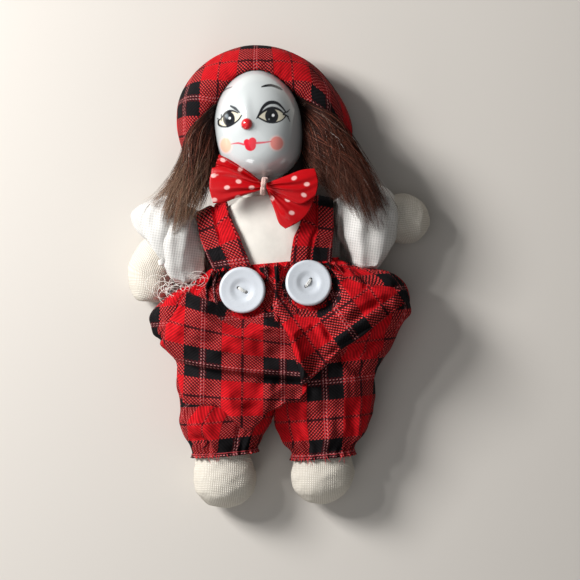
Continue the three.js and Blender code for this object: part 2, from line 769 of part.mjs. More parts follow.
const bowHalf = bowThickness / 2;
const bowPieces = {
  bow_loop_right: [
    [-0.7, 0, 1.7, 1.2],
    [-3, 0.4, 0.4, 2.6, bowHalf * 0.9],
    [-8, 0.8, 0.5, 5, bowHalf],
    [-13.5, 0.7, 0, 6.4, bowHalf],
    [-16.4, 0.6, -0.7, 6.2, bowHalf * 0.5],
  ],
  bow_tail_right: [
    [-2.4, 3.8, 1, 0.6],
    [-6, 5.8, 1.3, 2.2, 0.9],
    [-10, 7.8, 1.2, 3, 1],
    [-13.2, 9.2, 0.8, 2.2, 0.8],
  ],
  bow_loop_left: [
    [0.7, 0, 1.7, 1.2],
    [3.5, 1, 0.4, 2.2, bowHalf * 0.9],
    [9, 2, 0.4, 3.6, bowHalf],
    [14.5, 2.6, 0, 4.2, bowHalf],
    [17.6, 2.4, -0.6, 3.6, bowHalf * 0.5],
  ],
  bow_tail_left: [
    [1.6, -3.2, 1.4, 1],
    [5, -6, -0.6, 3, 1.5],
    [8.6, -8.8, -1, 4.2, 1.6],
    [11, -11.6, -1.6, 3.2, 1.2],
  ],
};

function makeBow() {
  const loops = { right: bowPiece(bowPieces.bow_loop_right), left: bowPiece(bowPieces.bow_loop_left) };
  const room = {
    right: bowPiece(bowPieces.bow_loop_right, gap),
    left: bowPiece(bowPieces.bow_loop_left, gap),
  };
  const cordRoom = makeBowTie(gap);
  return {
    bow_loop_right: cut(loops.right, cordRoom),
    bow_loop_left: cut(loops.left, cordRoom),
    bow_tail_right: cut(bowPiece(bowPieces.bow_tail_right), room.right, cordRoom),
    bow_tail_left: cut(bowPiece(bowPieces.bow_tail_left), room.left, cordRoom),
  };
}

function makeBowTie(grow = 0) {
  const front = bowKnot.z + bowTieFront;
  const back = neckHeight + neckRadius + cuffRoom + cuffWall + gap + bowCord;
  const middle = (front + back) / 2;
  const half = (front - back) / 2;
  const points = Array.from({ length: 14 }, (_, s) => {
    const angle = (s / 14) * Math.PI * 2;
    const y = bowKnot.y + bowTieHeight * Math.cos(angle);
    return new THREE.Vector3(bowKnot.x, y, middle + half * Math.sin(angle));
  });
  return loopRing(points, bowKnot, new THREE.Vector3(1, 0, 0), bowCord + grow, bowCord + grow, 6);
}

// Arms: knitted mitten arms with a gauze sleeve, hung on a thread knot at the shoulder

const armStations = {
  right: [
    [-30.4, 30.6, 11.2, 5.8, 5.8],
    [-35, 25.6, 9.4, 6.7, 6.7],
    [-38, 20.4, 7, 7.4, 7.4],
    [-38.3, 15.4, 6.6, 6.7, 6.9],
    [-37.9, 12, 6.6, 4.4, 5],
    [-37.8, 10.6, 6.6, 1.4, 1.8],
  ],
  left: [
    [31.6, 32.6, 11.4, 5.8, 5.8],
    [37.4, 31, 9.6, 7, 6.9],
    [43.2, 29.8, 7, 7.8, 7.4],
    [47.4, 28.9, 6.7, 6.6, 6.6],
    [49.7, 28.4, 6.7, 4, 4.4],
    [50.6, 28.2, 6.7, 1.3, 1.8],
  ],
};

const shoulderAt = (side) => new THREE.Vector3((side * shoulderSpan) / 2, shoulderLine, shoulderHeight);

function armLine(name, side) {
  const from = shoulderAt(side);
  const toward = new THREE.Vector3(...armStations[name][0]).sub(from).normalize();
  const start = from.addScaledVector(toward, armRunOut);
  return [[start.x, start.y, start.z, armTopRadius, armTopRadius], ...armStations[name]];
}

function armForm(name, side, grow, faces = seen) {
  const lowest = floor - Math.min(grow, 0);
  return form(armLine(name, side), { ...faces, grow, square: 2, upright: false, lowest });
}

function knotRoom(side) {
  const at = shoulderAt(side);
  return ball(knotRadius + gap, at.x, at.y, at.z);
}

function makeArm(name, side) {
  return cut(armForm(name, side, 0), armForm(name, side, -clothThickness, inner), knotRoom(side));
}

const sleeveStations = {
  right: [
    [-25.2, 37.2, 12.8, 7, 7.2],
    [-29.4, 34, 12.4, 9, 8.6],
    [-32, 28, 11.4, 10.8, 9.4],
    [-31, 21.5, 10.2, 10.4, 8.4],
    [-27.4, 15.4, 9.4, 7.6, 6.6],
  ],
  left: [
    [25.2, 36.6, 12.8, 7, 7.2],
    [30, 32.6, 12.6, 9, 8.8],
    [32.2, 26, 12, 9.2, 8.6],
    [32, 19, 11.4, 7.4, 7],
    [30.6, 14, 10.4, 4, 4.6],
  ],
};

const sleeveForm = (name, grow) => {
  const folds = (angle, t) => 1 + 0.04 * Math.cos(6 * angle + 4 * t) + 0.03 * t * Math.cos(9 * angle);
  const faces = { steps: 6, sides: 14 };
  const options = { ...faces, grow, square: 2.1, upright: false, lowest: floor + gap, ripple: folds };
  return form(sleeveStations[name], options);
};

// Legs: knitted legs with a rounded foot, in baggy trouser legs gathered at the hem

const legStations = {
  right: [
    [-10.2, hipLine - hipRunOut, hipHeight, 8.7, hipHalf * 0.7],
    [-10.2, hipLine - hipRunOut - 2.7, hipHeight, 8.7, hipHalf + 2.6],
    [-12, hipLine - hipRunOut - 6.6, hipHeight - 0.3, 8.5, hipHalf + 5.4],
    [-16.4, hipLine - hipRunOut - 11, 9.6, 8, 7.2],
    [-20.2, hipLine - hipRunOut - 13.6, 9.5, 7.6, 6.8],
    [-20.6, -41.6, 9, 9.1, 8.1],
    [-20.6, -46.6, 8.6, 9.9, 9.1],
    [-20.7, -51, 8.4, 8.9, 8.5],
    [-20.8, -54.2, 8.2, 5.4, 5.4],
    [-20.8, -55.5, 8.2, 1.6, 1.6],
  ],
  left: [
    [10.2, hipLine - hipRunOut, hipHeight, 8.7, hipHalf * 0.7],
    [10.2, hipLine - hipRunOut - 2.7, hipHeight, 8.7, hipHalf + 2.6],
    [10.4, hipLine - hipRunOut - 6.6, hipHeight - 0.3, 8.5, hipHalf + 5.4],
    [10.6, hipLine - hipRunOut - 11, 9.6, 8, 7.2],
    [10.6, hipLine - hipRunOut - 17.4, 9.5, 7.7, 6.8],
    [10.4, -43.6, 9, 9.1, 8.1],
    [10.2, -48, 8.6, 10, 9.1],
    [9.8, -52.4, 8.4, 8.9, 8.5],
    [9.3, -55.6, 8.2, 5.4, 5.4],
    [9.2, -57, 8.2, 1.6, 1.6],
  ],
};

const legBore = (name) => legForm(name, gap + boreEase, inner);

function legForm(name, grow, faces = seen, openStart = 0) {
  const steps = legStations[name].length - 1;
  const lowest = floor - Math.min(grow, 0);
  return form(legStations[name], { ...faces, steps, grow, openStart, square: 2.1, lowest });
}

const trouserStations = {
  right: [
    [-17.4, -3, 9.2, 15.2, 9.6],
    [-17, -9, 10.4, 16.4, 10.9],
    [-16.5, -18, 10.6, 15.6, 11.1],
    [-17.4, -25.5, 10.4, 15.4, 10.9],
    [-19.3, -32, 9.6, 12.8, 10.1],
    [-20.6, -36.2, 9.8, 9.6, 8.4],
    [-20.6, -38.6, 9.6, 10.6, 9.1],
  ],
  left: [
    [17.4, -3, 9.2, 16.4, 9.6],
    [16.4, -9, 10.4, 16, 10.9],
    [14.6, -18, 10.6, 14.2, 11.1],
    [13.8, -27, 10.4, 13.4, 10.9],
    [12.8, -34.5, 9.6, 12.2, 10.1],
    [10.9, -39.2, 9.8, 9.6, 8.4],
    [10.8, -41.8, 9.6, 10.6, 9.1],
  ],
};

const trouserGathers = (angle, t) => 1 + 0.03 * t ** 4 * Math.cos(9 * angle);
const trouserSquare = 2.3;

function makeTrouserLeg(name, other) {
  const options = { steps: 7, sides: 18, square: trouserSquare, ripple: trouserGathers };
  const whole = form(trouserStations[name], { ...options, lowest: floor });
  const beside = form(trouserStations[other], { ...options, grow: gap });
  return { whole, beside };
}

function hemThread(name, grow = 0) {
  const [x, y, z, w, d] = trouserStations[name][5];
  const points = Array.from({ length: 18 }, (_, s) => {
    const [u, v] = onSuperellipse((s / 18) * Math.PI * 2, w + 0.1, d + 0.1, trouserSquare);
    return new THREE.Vector3(x + u, y, z + v);
  });
  const axis = new THREE.Vector3(0, 1, 0);
  const radius = hemThreadRadius + grow;
  return loopRing(points, new THREE.Vector3(x, y, z), axis, radius, radius, 4);
}

// Hair locks

const lockStations = {
  right: [
    [-14.6, 69, 19.6, 1.4, 2],
    [-17.2, 64.5, 19.6, 3.6, 3],
    [-19.6, 57.5, 20.6, 5.2, 3.4],
    [-22, 49.5, 22, 5.6, 3.2],
    [-24.4, 42.5, 22.6, 4.8, 2.2],
    [-25.8, 37.5, 22.6, 2.4, 0.9],
  ],
  left: [
    [14.8, 69, 19.6, 1.4, 2],
    [18.6, 64.5, 20, 4.4, 3.2],
    [22, 57, 21, 6.4, 3.8],
    [25.6, 47.5, 22.8, 7.6, 3.6],
    [29.8, 37.5, 23, 7.4, 2.8],
    [33.6, 28, 21.8, 4.4, 1.6],
    [34.6, 24.5, 21.4, 1.6, 0.7],
  ],
};

const lockForm = (name) => form(lockStations[name], { steps: 9, sides: 10, square: 2, upright: false });

// Assembly. Each moving part is a group at its own joint.

function group(at, ...pieces) {
  const holder = new THREE.Group();
  holder.position.copy(at);
  for (const piece of pieces) {
    piece.geometry.translate(-at.x, -at.y, -at.z);
    holder.add(piece);
  }
  return holder;
}

const doll = new THREE.Group();
const origin = new THREE.Vector3();
const signs = { right: -1, left: 1 };
const sideNames = Object.keys(signs);

const straps = {};
const strapRooms = {};
for (const name of sideNames) {
  straps[name] = makeStrap(signs[name], strapFoot[name]);
  strapRooms[name] = makeStrap(signs[name], strapFoot[name], gap);
}
const buttonRooms = sideNames.map((name) => buttonRoom(buttonPlaces[name]));

const seat = cut(
  seatForm(0),
  torsoForm(gap + boreEase, inner),
  makeWaistElastic(gap),
  ...Object.values(strapRooms),
  ...buttonRooms,
);
const blouse = cut(blouseForm(0), seatForm(gap), torsoForm(gap + boreEase, inner), ...buttonRooms);

doll.add(group(
  origin,
  mesh('body_bag', makeBodyBag(), 'cotton'),
  mesh('body_stuffing', makeBodyStuffing(), 'filling'),
  mesh('trousers_seat', seat, 'plaid'),
  mesh('trousers_blouse', blouse, 'plaid'),
  mesh('waist_elastic', makeWaistElastic(), 'elastic'),
  ...sideNames.map((name) => mesh(`strap_${name}`, straps[name], 'plaid')),
  ...sideNames.map((name) => mesh(`button_${name}`, makeButton(buttonPlaces[name]), 'button')),
  ...sideNames.map((name) => mesh(`button_thread_${name}`, makeButtonThread(buttonPlaces[name]), 'thread')),
));

const neckAt = new THREE.Vector3(0, neckPivot, neckHeight);
doll.add(group(
  neckAt,
  mesh('neck_cuff', makeNeckCuff(), 'cotton'),
  mesh('neck_cord', makeNeckCord(), 'thread'),
  ...Object.entries(makeBow()).map(([name, geometry]) => mesh(name, geometry, 'satin')),
  mesh('bow_tie', makeBowTie(), 'cord'),
));

doll.add(group(
  neckAt,
  mesh('porcelain_head', makeHead(), 'porcelain'),
  mesh('wig_cap', makeWigCap(), 'hair'),
  mesh('beret_crown', makeBeretCrown(), 'plaid'),
  mesh('beret_underside', makeBeretUnderside(), 'plaid'),
  mesh('beret_headband', makeBeretBand(), 'plaid'),
  ...sideNames.map((name) => mesh(
    `wig_lock_${name}`,
    cut(lockForm(name), skullForm(gap * 2), sleeveForm(name, gap), strapRooms[name]),
    'hair',
  )),
));

for (const name of sideNames) {
  const side = signs[name];
  const at = shoulderAt(side);
  const knot = ball(knotRadius, at.x, at.y, at.z);
  doll.add(group(at, mesh(`shoulder_knot_${name}`, knot, 'thread')));
  const stuffing = cut(armForm(name, side, -clothThickness - liningGap, inner), knotRoom(side));
  const sleeve = cut(
    sleeveForm(name, 0),
    armForm(name, side, gap + boreEase, inner),
    torsoForm(gap + boreEase, inner),
    seatForm(gap),
    strapRooms[name],
    knotRoom(side),
    peg(side, pegRadius + gap, torsoWidth * 0.3, shoulderSpan / 2),
  );
  doll.add(group(
    at,
    mesh(`arm_${name}`, makeArm(name, side), 'knit'),
    mesh(`arm_stuffing_${name}`, stuffing, 'filling'),
    mesh(`sleeve_${name}`, sleeve, 'gauze'),
  ));
}

const others = { right: 'left', left: 'right' };
for (const name of sideNames) {
  const { whole, beside } = makeTrouserLeg(name, others[name]);
  const cloth = cut(
    whole,
    ...(name === 'right' ? [beside] : []),
    legBore(name),
    torsoForm(gap + boreEase, inner),
    seatForm(gap),
    blouseForm(gap),
    hemThread(name, gap),
  );
  const leg = cut(legForm(name, 0), legForm(name, -clothThickness, inner, 1));
  const filling = legForm(name, -clothThickness - liningGap, inner, -fillingRunOut);
  const at = new THREE.Vector3(0, hipLine, hipHeight);
  doll.add(group(
    at,
    mesh(`leg_${name}`, leg, 'knit'),
    mesh(`leg_stuffing_${name}`, filling, 'filling'),
    mesh(`trouser_leg_${name}`, cloth, 'plaid'),
    mesh(`hem_gather_${name}`, hemThread(name), 'thread'),
  ));
}

export default doll;
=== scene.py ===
"""Dresses the porcelain clown doll round its CAD frame.

Lengths are in millimetres and become metres where a mesh is made. +X is the doll's own left,
+Y runs from its feet to its head and +Z points out of its chest.
"""
import math

import bpy
import numpy as np
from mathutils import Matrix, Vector
from mathutils.bvhtree import BVHTree


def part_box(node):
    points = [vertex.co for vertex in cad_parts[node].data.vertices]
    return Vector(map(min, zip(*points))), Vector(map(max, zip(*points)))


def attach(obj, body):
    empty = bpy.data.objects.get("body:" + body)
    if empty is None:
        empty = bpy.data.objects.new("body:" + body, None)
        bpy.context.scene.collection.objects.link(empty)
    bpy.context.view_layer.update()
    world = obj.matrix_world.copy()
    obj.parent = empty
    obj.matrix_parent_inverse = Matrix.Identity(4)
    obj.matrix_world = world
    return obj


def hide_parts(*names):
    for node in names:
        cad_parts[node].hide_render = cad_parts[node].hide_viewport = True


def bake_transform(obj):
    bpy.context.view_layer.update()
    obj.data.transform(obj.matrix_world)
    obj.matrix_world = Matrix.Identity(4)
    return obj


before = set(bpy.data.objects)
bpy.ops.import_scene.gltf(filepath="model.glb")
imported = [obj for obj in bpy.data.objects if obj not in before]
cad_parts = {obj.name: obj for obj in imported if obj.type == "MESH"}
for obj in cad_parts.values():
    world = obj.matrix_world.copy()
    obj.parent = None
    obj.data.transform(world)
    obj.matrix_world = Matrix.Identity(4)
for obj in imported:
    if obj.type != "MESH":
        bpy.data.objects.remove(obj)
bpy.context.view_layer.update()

MM = 0.001
SIGNS = {"right": -1, "left": 1}  # the doll's own sides, along x
FLOOR_GAP = 0.02  # soft pieces stay this far above the floor
CAMERA = np.array([5.15, 10.76, 700.0])
CAMERA_LENS = 136.07  # gives the photo's frame on a sensor 36 wide
LEAN = math.radians(5.2)  # the doll lies turned by this in the photo
FACE_LEVEL = 30.0  # z of the plane on which the painted face is drawn
PERIOD = 24.4  # the plaid repeats after this
THREADS = 88  # threads in a repeat


# Curves and grids of points


def smooth(low, high, value):
    """0 below low, 1 above high and a soft step between them."""
    t = np.clip((value - low) / (high - low), 0, 1)
    return t * t * (3 - 2 * t)


def spline(a, b, c, d, u):
    """The curve from b to c, for u from 0 to 1, where a and d are the points beside them."""
    square, cube = 2 * a - 5 * b + 4 * c - d, 3 * b - a - 3 * c + d
    return 0.5 * (2 * b + (c - a) * u + square * u**2 + cube * u**3)


def through(points, count):
    """Points along a smooth curve through the given ones, evenly spaced in number."""
    points = np.asarray(points, float)
    padded = np.vstack([2 * points[0] - points[1], points, 2 * points[-1] - points[-2]])
    t = np.linspace(0, len(points) - 1, count)
    i = np.minimum(t.astype(int), len(points) - 2)
    return spline(*(padded[i + k] for k in range(4)), (t - i)[:, None])


def around(points, count):
    """A closed smooth curve through the given points, without its last point."""
    points = np.asarray(points, float)
    t = np.arange(count) * len(points) / count
    i = t.astype(int)
    return spline(*(points[(i + k) % len(points)] for k in (-1, 0, 1, 2)), (t - i)[:, None])


def lengths(points, axis=0):
    """How far along its line each point lies."""
    steps = np.cumsum(np.linalg.norm(np.diff(points, axis=axis), axis=-1), axis)
    return np.concatenate([np.zeros_like(np.take(steps, [0], axis)), steps], axis)


def evenly(points, count):
    """The same line with its points at even distances."""
    at = lengths(points)
    want = np.linspace(0, at[-1], count)
    return np.stack([np.interp(want, at, points[:, k]) for k in range(points.shape[1])], 1)


def unit(vectors):
    return vectors / np.maximum(np.linalg.norm(vectors, axis=-1, keepdims=True), 1e-9)


def normals(grid):
    """The direction square to a grid of points, at each point."""
    return unit(np.cross(np.gradient(grid, axis=1), np.gradient(grid, axis=0)))


def turned(places, angle):
    """Places turned about the origin."""
    c, s = math.cos(angle), math.sin(angle)
    x, y = places[..., 0], places[..., 1]
    return np.stack([x * c - y * s, x * s + y * c], -1)


def raised(xy, z):
    """Places with their heights."""
    return np.concatenate([xy, z[..., None]], -1)


def keep_above(points, level):
    points[..., 2] = np.maximum(points[..., 2], level)


def shares(rows, cols):
    """Shares from 0 to 1 down the rows and along the columns of a grid."""
    return np.linspace(0, 1, rows)[:, None], np.linspace(0, 1, cols)[None, :]


def form(stations, rows, angles, square=2.2, upright=True, lowest=None, ripple=None):
    """Rings of a soft form. A station is the middle, half width and half depth of a section."""
    if isinstance(angles, int):
        angles = np.arange(angles) / angles * 2 * np.pi
    line = through(stations, rows)
    middle, t = line[:, :3], np.linspace(0, 1, rows)
    along = np.gradient(middle, axis=0)
    if upright:
        along = np.tile([0, np.sign(middle[-1, 1] - middle[0, 1]), 0.0], (rows, 1))
    across = unit(np.cross(along, [0, 0, 1.0]))
    up = np.cross(across, unit(along))
    c, s = np.cos(angles), np.sin(angles)
    u = np.sign(c) * np.abs(c) ** (2 / square)
    v = np.sign(s) * np.abs(s) ** (2 / square)
    swell = ripple(angles[None, :], t[:, None]) if ripple else np.ones((rows, len(angles)))
    wide = line[:, 3, None] * swell * u
    deep = line[:, 4, None] * swell * v
    points = middle[:, None] + across[:, None] * wide[..., None] + up[:, None] * deep[..., None]
    if lowest is not None:
        keep_above(points, lowest)
    return points


def waves(points, size, seed, octaves=3):
    """Smooth bumps from -1 to 1 that depend only on the place, for folds and dents."""
    random = np.random.default_rng(seed)
    total = np.zeros(points.shape[:-1])
    for octave in range(octaves):
        for _ in range(5):
            direction = unit(random.normal(size=3)) * 2 * np.pi / size * 1.7**octave
            total += np.sin(points @ direction + random.uniform(0, 6.3)) / 1.8**octave
    return total / 4.5


def arc_uv(grid, zero=None):
    """Lengths round and along a wrapped grid, measured from the column that faces up."""
    closed = np.concatenate([grid, grid[:, :1]], 1)
    round_ = lengths(closed, 1)
    top = grid.shape[1] // 4 if zero is None else zero
    round_ = round_[:, top, None] - round_
    along = lengths(grid[:, top])
    return np.stack([round_, np.repeat(along[:, None], closed.shape[1], 1)], -1)


# Meshes


def build(name, points, faces, uv=None, paint=None, look=None, body=None, replaces=(), closed=True):
    """A mesh object. faces is a list of arrays of corners, with uv a matching list of arrays."""
    points = np.asarray(points, float).reshape(-1, 3)
    corners = [list(map(int, face)) for part in faces for face in part]
    if closed:
        volume = 0.0
        for part in faces:
            a, b, c = points[part[:, 0]], points[part[:, 1]], points[part[:, 2]]
            volume += np.einsum("ij,ij->i", a, np.cross(b, c)).sum()
            if part.shape[1] == 4:
                d = points[part[:, 3]]
                volume += np.einsum("ij,ij->i", a, np.cross(c, d)).sum()
        if volume < 0:
            corners = [face[::-1] for face in corners]
            uv = None if uv is None else [part[:, ::-1] for part in uv]
    mesh = bpy.data.meshes.new(name)
    mesh.from_pydata((points * MM).tolist(), [], corners)
    if uv is not None:
        layer = mesh.uv_layers.new(name="cloth")
        flat = np.concatenate([part.reshape(-1, 2) for part in uv])
        layer.data.foreach_set("uv", flat.astype(np.float32).ravel())
    if paint is not None:
        colours = np.ones((len(points), 4), np.float32)
        colours[:, :3] = np.asarray(paint).reshape(-1, 3)
        layer = mesh.color_attributes.new("paint", "FLOAT_COLOR", "POINT")
        layer.data.foreach_set("color", colours.ravel())
    mesh.shade_smooth()
    obj = bpy.data.objects.new(name, mesh)
    bpy.context.collection.objects.link(obj)
    if look is not None:
        mesh.materials.append(look[0])
    if body is not None:
        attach(obj, body)
    if replaces:
        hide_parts(*replaces)
    return obj


def quads(rows, cols, wrap, start=0):
    r = np.arange(rows - 1)[:, None]
    c = np.arange(cols if wrap else cols - 1)[None, :]
    n = (c + 1) % cols
    corners = np.stack([r * cols + c, r * cols + n, (r + 1) * cols + n, (r + 1) * cols + c], -1)
    return corners.reshape(-1, 4) + start


def quad_uv(uv):
    return np.stack([uv[:-1, :-1], uv[:-1, 1:], uv[1:, 1:], uv[1:, :-1]], 2).reshape(-1, 4, 2)


def skin(name, grid, uv=None, paint=None, **options):
    """A closed skin over wrapped rings of points. The ends are closed with a fan."""
    rows, cols = grid.shape[:2]
    uv = arc_uv(grid) if uv is None else uv
    points, faces, corners = [grid.reshape(-1, 3)], [quads(rows, cols, True)], [quad_uv(uv)]
    ring = np.arange(cols)
    for k, row in enumerate((0, rows - 1)):
        first, second = row * cols + ring, row * cols + (ring + 1) % cols
        at_first, at_second = uv[row, :-1], uv[row, 1:]
        if k == 0:
            first, second, at_first, at_second = second, first, at_second, at_first
        faces.append(np.stack([first, second, np.full(cols, rows * cols + k)], 1))
        corners.append(np.stack([at_first, at_second, np.repeat(uv[row].mean(0)[None], cols, 0)], 1))
        points.append(grid[row].mean(0)[None])
    if paint is not None:
        paint = np.vstack([paint.reshape(-1, 3), paint[0].mean(0)[None], paint[-1].mean(0)[None]])
    return build(name, np.concatenate(points), faces, corners, paint, **options)


def sheet(name, grid, uv, thickness, **options):
    """An open grid given a thickness, as one closed mesh. The grid is its face that shows."""
    rows, cols = grid.shape[:2]
    normal = normals(grid)
    if normal[..., 2].mean() < 0:
        normal = -normal
    under = grid - normal * thickness
    points = np.concatenate([grid.reshape(-1, 3), under.reshape(-1, 3)])
    top, bottom = quads(rows, cols, False), quads(rows, cols, False, rows * cols)[:, ::-1]
    index = np.arange(rows * cols).reshape(rows, cols)
    rim = np.concatenate([index[0, :-1], index[:-1, -1], index[-1, :0:-1], index[:0:-1, 0]])
    after = np.roll(rim, -1)
    edge = np.stack([after, rim, rim + rows * cols, after + rows * cols], 1)
    flat = uv.reshape(-1, 2)
    edge_uv = np.stack([flat[after], flat[rim], flat[rim], flat[after]], 1)
    corners = [quad_uv(uv), quad_uv(uv)[:, ::-1], edge_uv]
    return build(name, points, [top, bottom, edge], corners, **options)


def lining(outer, wall):
    """The inner face of a tube of cloth, a wall's thickness inside its rings."""
    middle = outer.mean(1, keepdims=True)
    away = np.linalg.norm(outer - middle, axis=-1, keepdims=True)
    return middle + (outer - middle) * np.maximum(1 - wall / np.maximum(away, 1e-6), 0.5)


def tube_grid(line, radius, sides=10):
    """Rings round a line, with a radius at each point."""
    line = np.asarray(line, float)
    along = unit(np.gradient(line, axis=0))
    guide = np.array([0, 0, 1.0]) if abs(along[:, 2]).max() < 0.95 else np.array([0.3, 1.0, 0.2])
    side = unit(np.cross(along, guide))
    up = np.cross(side, along)
    angle = np.arange(sides) / sides * 2 * np.pi
    radius = np.broadcast_to(radius, len(line))[:, None, None]
    ring = side[:, None] * np.cos(angle)[None, :, None] + up[:, None] * np.sin(angle)[None, :, None]
    return line[:, None] + ring * radius


def tube(name, line, radius, sides=10, **options):
    return skin(name, tube_grid(line, radius, sides), **options)


def strands(name, lines, radius, paint, **options):
    """Many thin tapered hairs in one mesh. lines has the shape (hairs, points, 3)."""
    count, rows = lines.shape[:2]
    along = unit(np.gradient(lines, axis=1))
    side = unit(np.cross(along, [0.15, 0.1, 1.0]))
    up = np.cross(side, along)
    angle = np.arange(3) / 3 * 2 * np.pi
    taper = radius * (1 - 0.75 * np.linspace(0, 1, rows) ** 2)[None, :, None, None]
    ring = side[:, :, None] * np.cos(angle)[:, None] + up[:, :, None] * np.sin(angle)[:, None]
    points = (lines[:, :, None] + ring * taper).reshape(-1, 3)
    one = quads(rows, 3, True)
    ends = np.array([[0, 2, 1], [rows * 3 - 3, rows * 3 - 2, rows * 3 - 1]])
    start = (np.arange(count) * rows * 3)[:, None, None]
    faces = [(one[None] + start).reshape(-1, 4), (ends[None] + start).reshape(-1, 3)]
    colours = np.repeat(paint[:, :, None], 3, 2)
    return build(name, points, faces, None, colours, closed=False, **options)


def tree_of(*grids):
    """A tree for casting rays at wrapped grids."""
    points, faces = [], []
    for grid in grids:
        start = sum(len(part) for part in points)
        faces.append(quads(*grid.shape[:2], True, start))
        points.append(grid.reshape(-1, 3))
    return BVHTree.FromPolygons(np.concatenate(points).tolist(), np.concatenate(faces).tolist())


FAR_BELOW = -50.0  # height taken where nothing lies below


def heights(tree, xy, missing):
    """z of the surface under each place, seen from above."""
    flat = np.asarray(xy, float).reshape(-1, 2)
    found = np.empty(len(flat))
    for k, (x, y) in enumerate(flat):
        hit = tree.ray_cast(Vector((x, y, 200.0)), Vector((0, 0, -1.0)))[0]
        found[k] = missing if hit is None else hit.z
    return found.reshape(np.asarray(xy).shape[:-1])


# Materials


class Look:
    """Builds one procedural material on a Principled shader."""

    def __init__(self, name, colour, rough, **values):
        self.material = bpy.data.materials.new(name)
        self.material.use_nodes = True
        self.tree = self.material.node_tree
        self.shader = self.tree.nodes["Principled BSDF"]
        values = {"Base Color": (*colour, 1), "Roughness": rough, **values}
        for socket, value in values.items():
            self.shader.inputs[socket].default_value = value

    def add(self, kind, inputs=(), **settings):
        node = self.tree.nodes.new(kind)
        for key, value in settings.items():
            setattr(node, key, value)
        for key, value in inputs:
            self.plug(node.inputs[key], value)
        return node

    def plug(self, socket, value):
        if isinstance(value, bpy.types.NodeSocket):
            self.tree.links.new(value, socket)
        else:
            socket.default_value = value

    def math(self, operation, *values):
        return self.add("ShaderNodeMath", enumerate(values), operation=operation).outputs[0]

    def wave(self, value, pitch):
        """A wave from -1 to 1 that repeats after the pitch."""
        return self.math("SINE", self.math("MULTIPLY", value, 2 * math.pi / pitch))

    def humps(self, value, pitch):
        """Round humps from 0 to 1, one for each pitch."""
        return self.math("ABSOLUTE", self.math("SINE", self.math("MULTIPLY", value, math.pi / pitch)))

    def mix(self, share, a, b, blend="MIX"):
        a, b = ((*c, 1) if isinstance(c, tuple) else c for c in (a, b))
        inputs = [(0, share), (6, a), (7, b)]
        return self.add("ShaderNodeMix", inputs, data_type="RGBA", blend_type=blend).outputs[2]

    def red(self, colour):
        return self.add("ShaderNodeSeparateColor", [(0, colour)]).outputs[0]

    def noise(self, scale, detail):
        place = self.add("ShaderNodeTexCoord").outputs["Object"]
        inputs = [("Scale", scale), ("Detail", detail), ("Vector", place)]
        return self.add("ShaderNodeTexNoise", inputs).outputs["Fac"]

    def bands(self, value, stops):
        """Bands of colour, each from its own place on."""
        node = self.add("ShaderNodeValToRGB", [(0, value)])
        ramp = node.color_ramp
        ramp.interpolation = "CONSTANT"
        while len(ramp.elements) < len(stops):
            ramp.elements.new(0.5)
        for element, (at, _) in zip(ramp.elements, stops):
            element.position = at
        for element, (_, colour) in zip(ramp.elements, stops):
            element.color = (*colour, 1)
        return node.outputs["Color"]

    def uv(self):
        """The two cloth coordinates, in millimetres."""
        place = self.add("ShaderNodeUVMap", uv_map="cloth").outputs[0]
        split = self.add("ShaderNodeSeparateXYZ", [(0, place)])
        return split.outputs[0], split.outputs[1]

    def painted(self):
        return self.add("ShaderNodeVertexColor", layer_name="paint").outputs["Color"]

    def colour(self, value):
        self.plug(self.shader.inputs["Base Color"], value)

    def bump(self, height, millimetres, strength):
        before = self.shader.inputs["Normal"]
        inputs = [("Height", height), ("Distance", millimetres * MM), ("Strength", strength)]
        if before.is_linked:
            inputs.append(("Normal", before.links[0].from_socket))
        self.plug(before, self.add("ShaderNodeBump", inputs).outputs[0])


BLACK_THREAD = (0.008, 0.007, 0.008)
RED_THREAD = (0.55, 0.006, 0.011)
MAROON_THREAD = (0.085, 0.004, 0.007)
PALE_THREAD = (0.42, 0.16, 0.16)
PLAID_BANDS = [  # threads from the middle of a black band, where each colour starts
    (0, MAROON_THREAD), (1, PALE_THREAD), (2.1, MAROON_THREAD), (4, BLACK_THREAD), (21, RED_THREAD),
    (42.6, MAROON_THREAD),
]
GLAZE = (0.56, 0.585, 0.58)
SATIN_RED = (0.47, 0.003, 0.006)


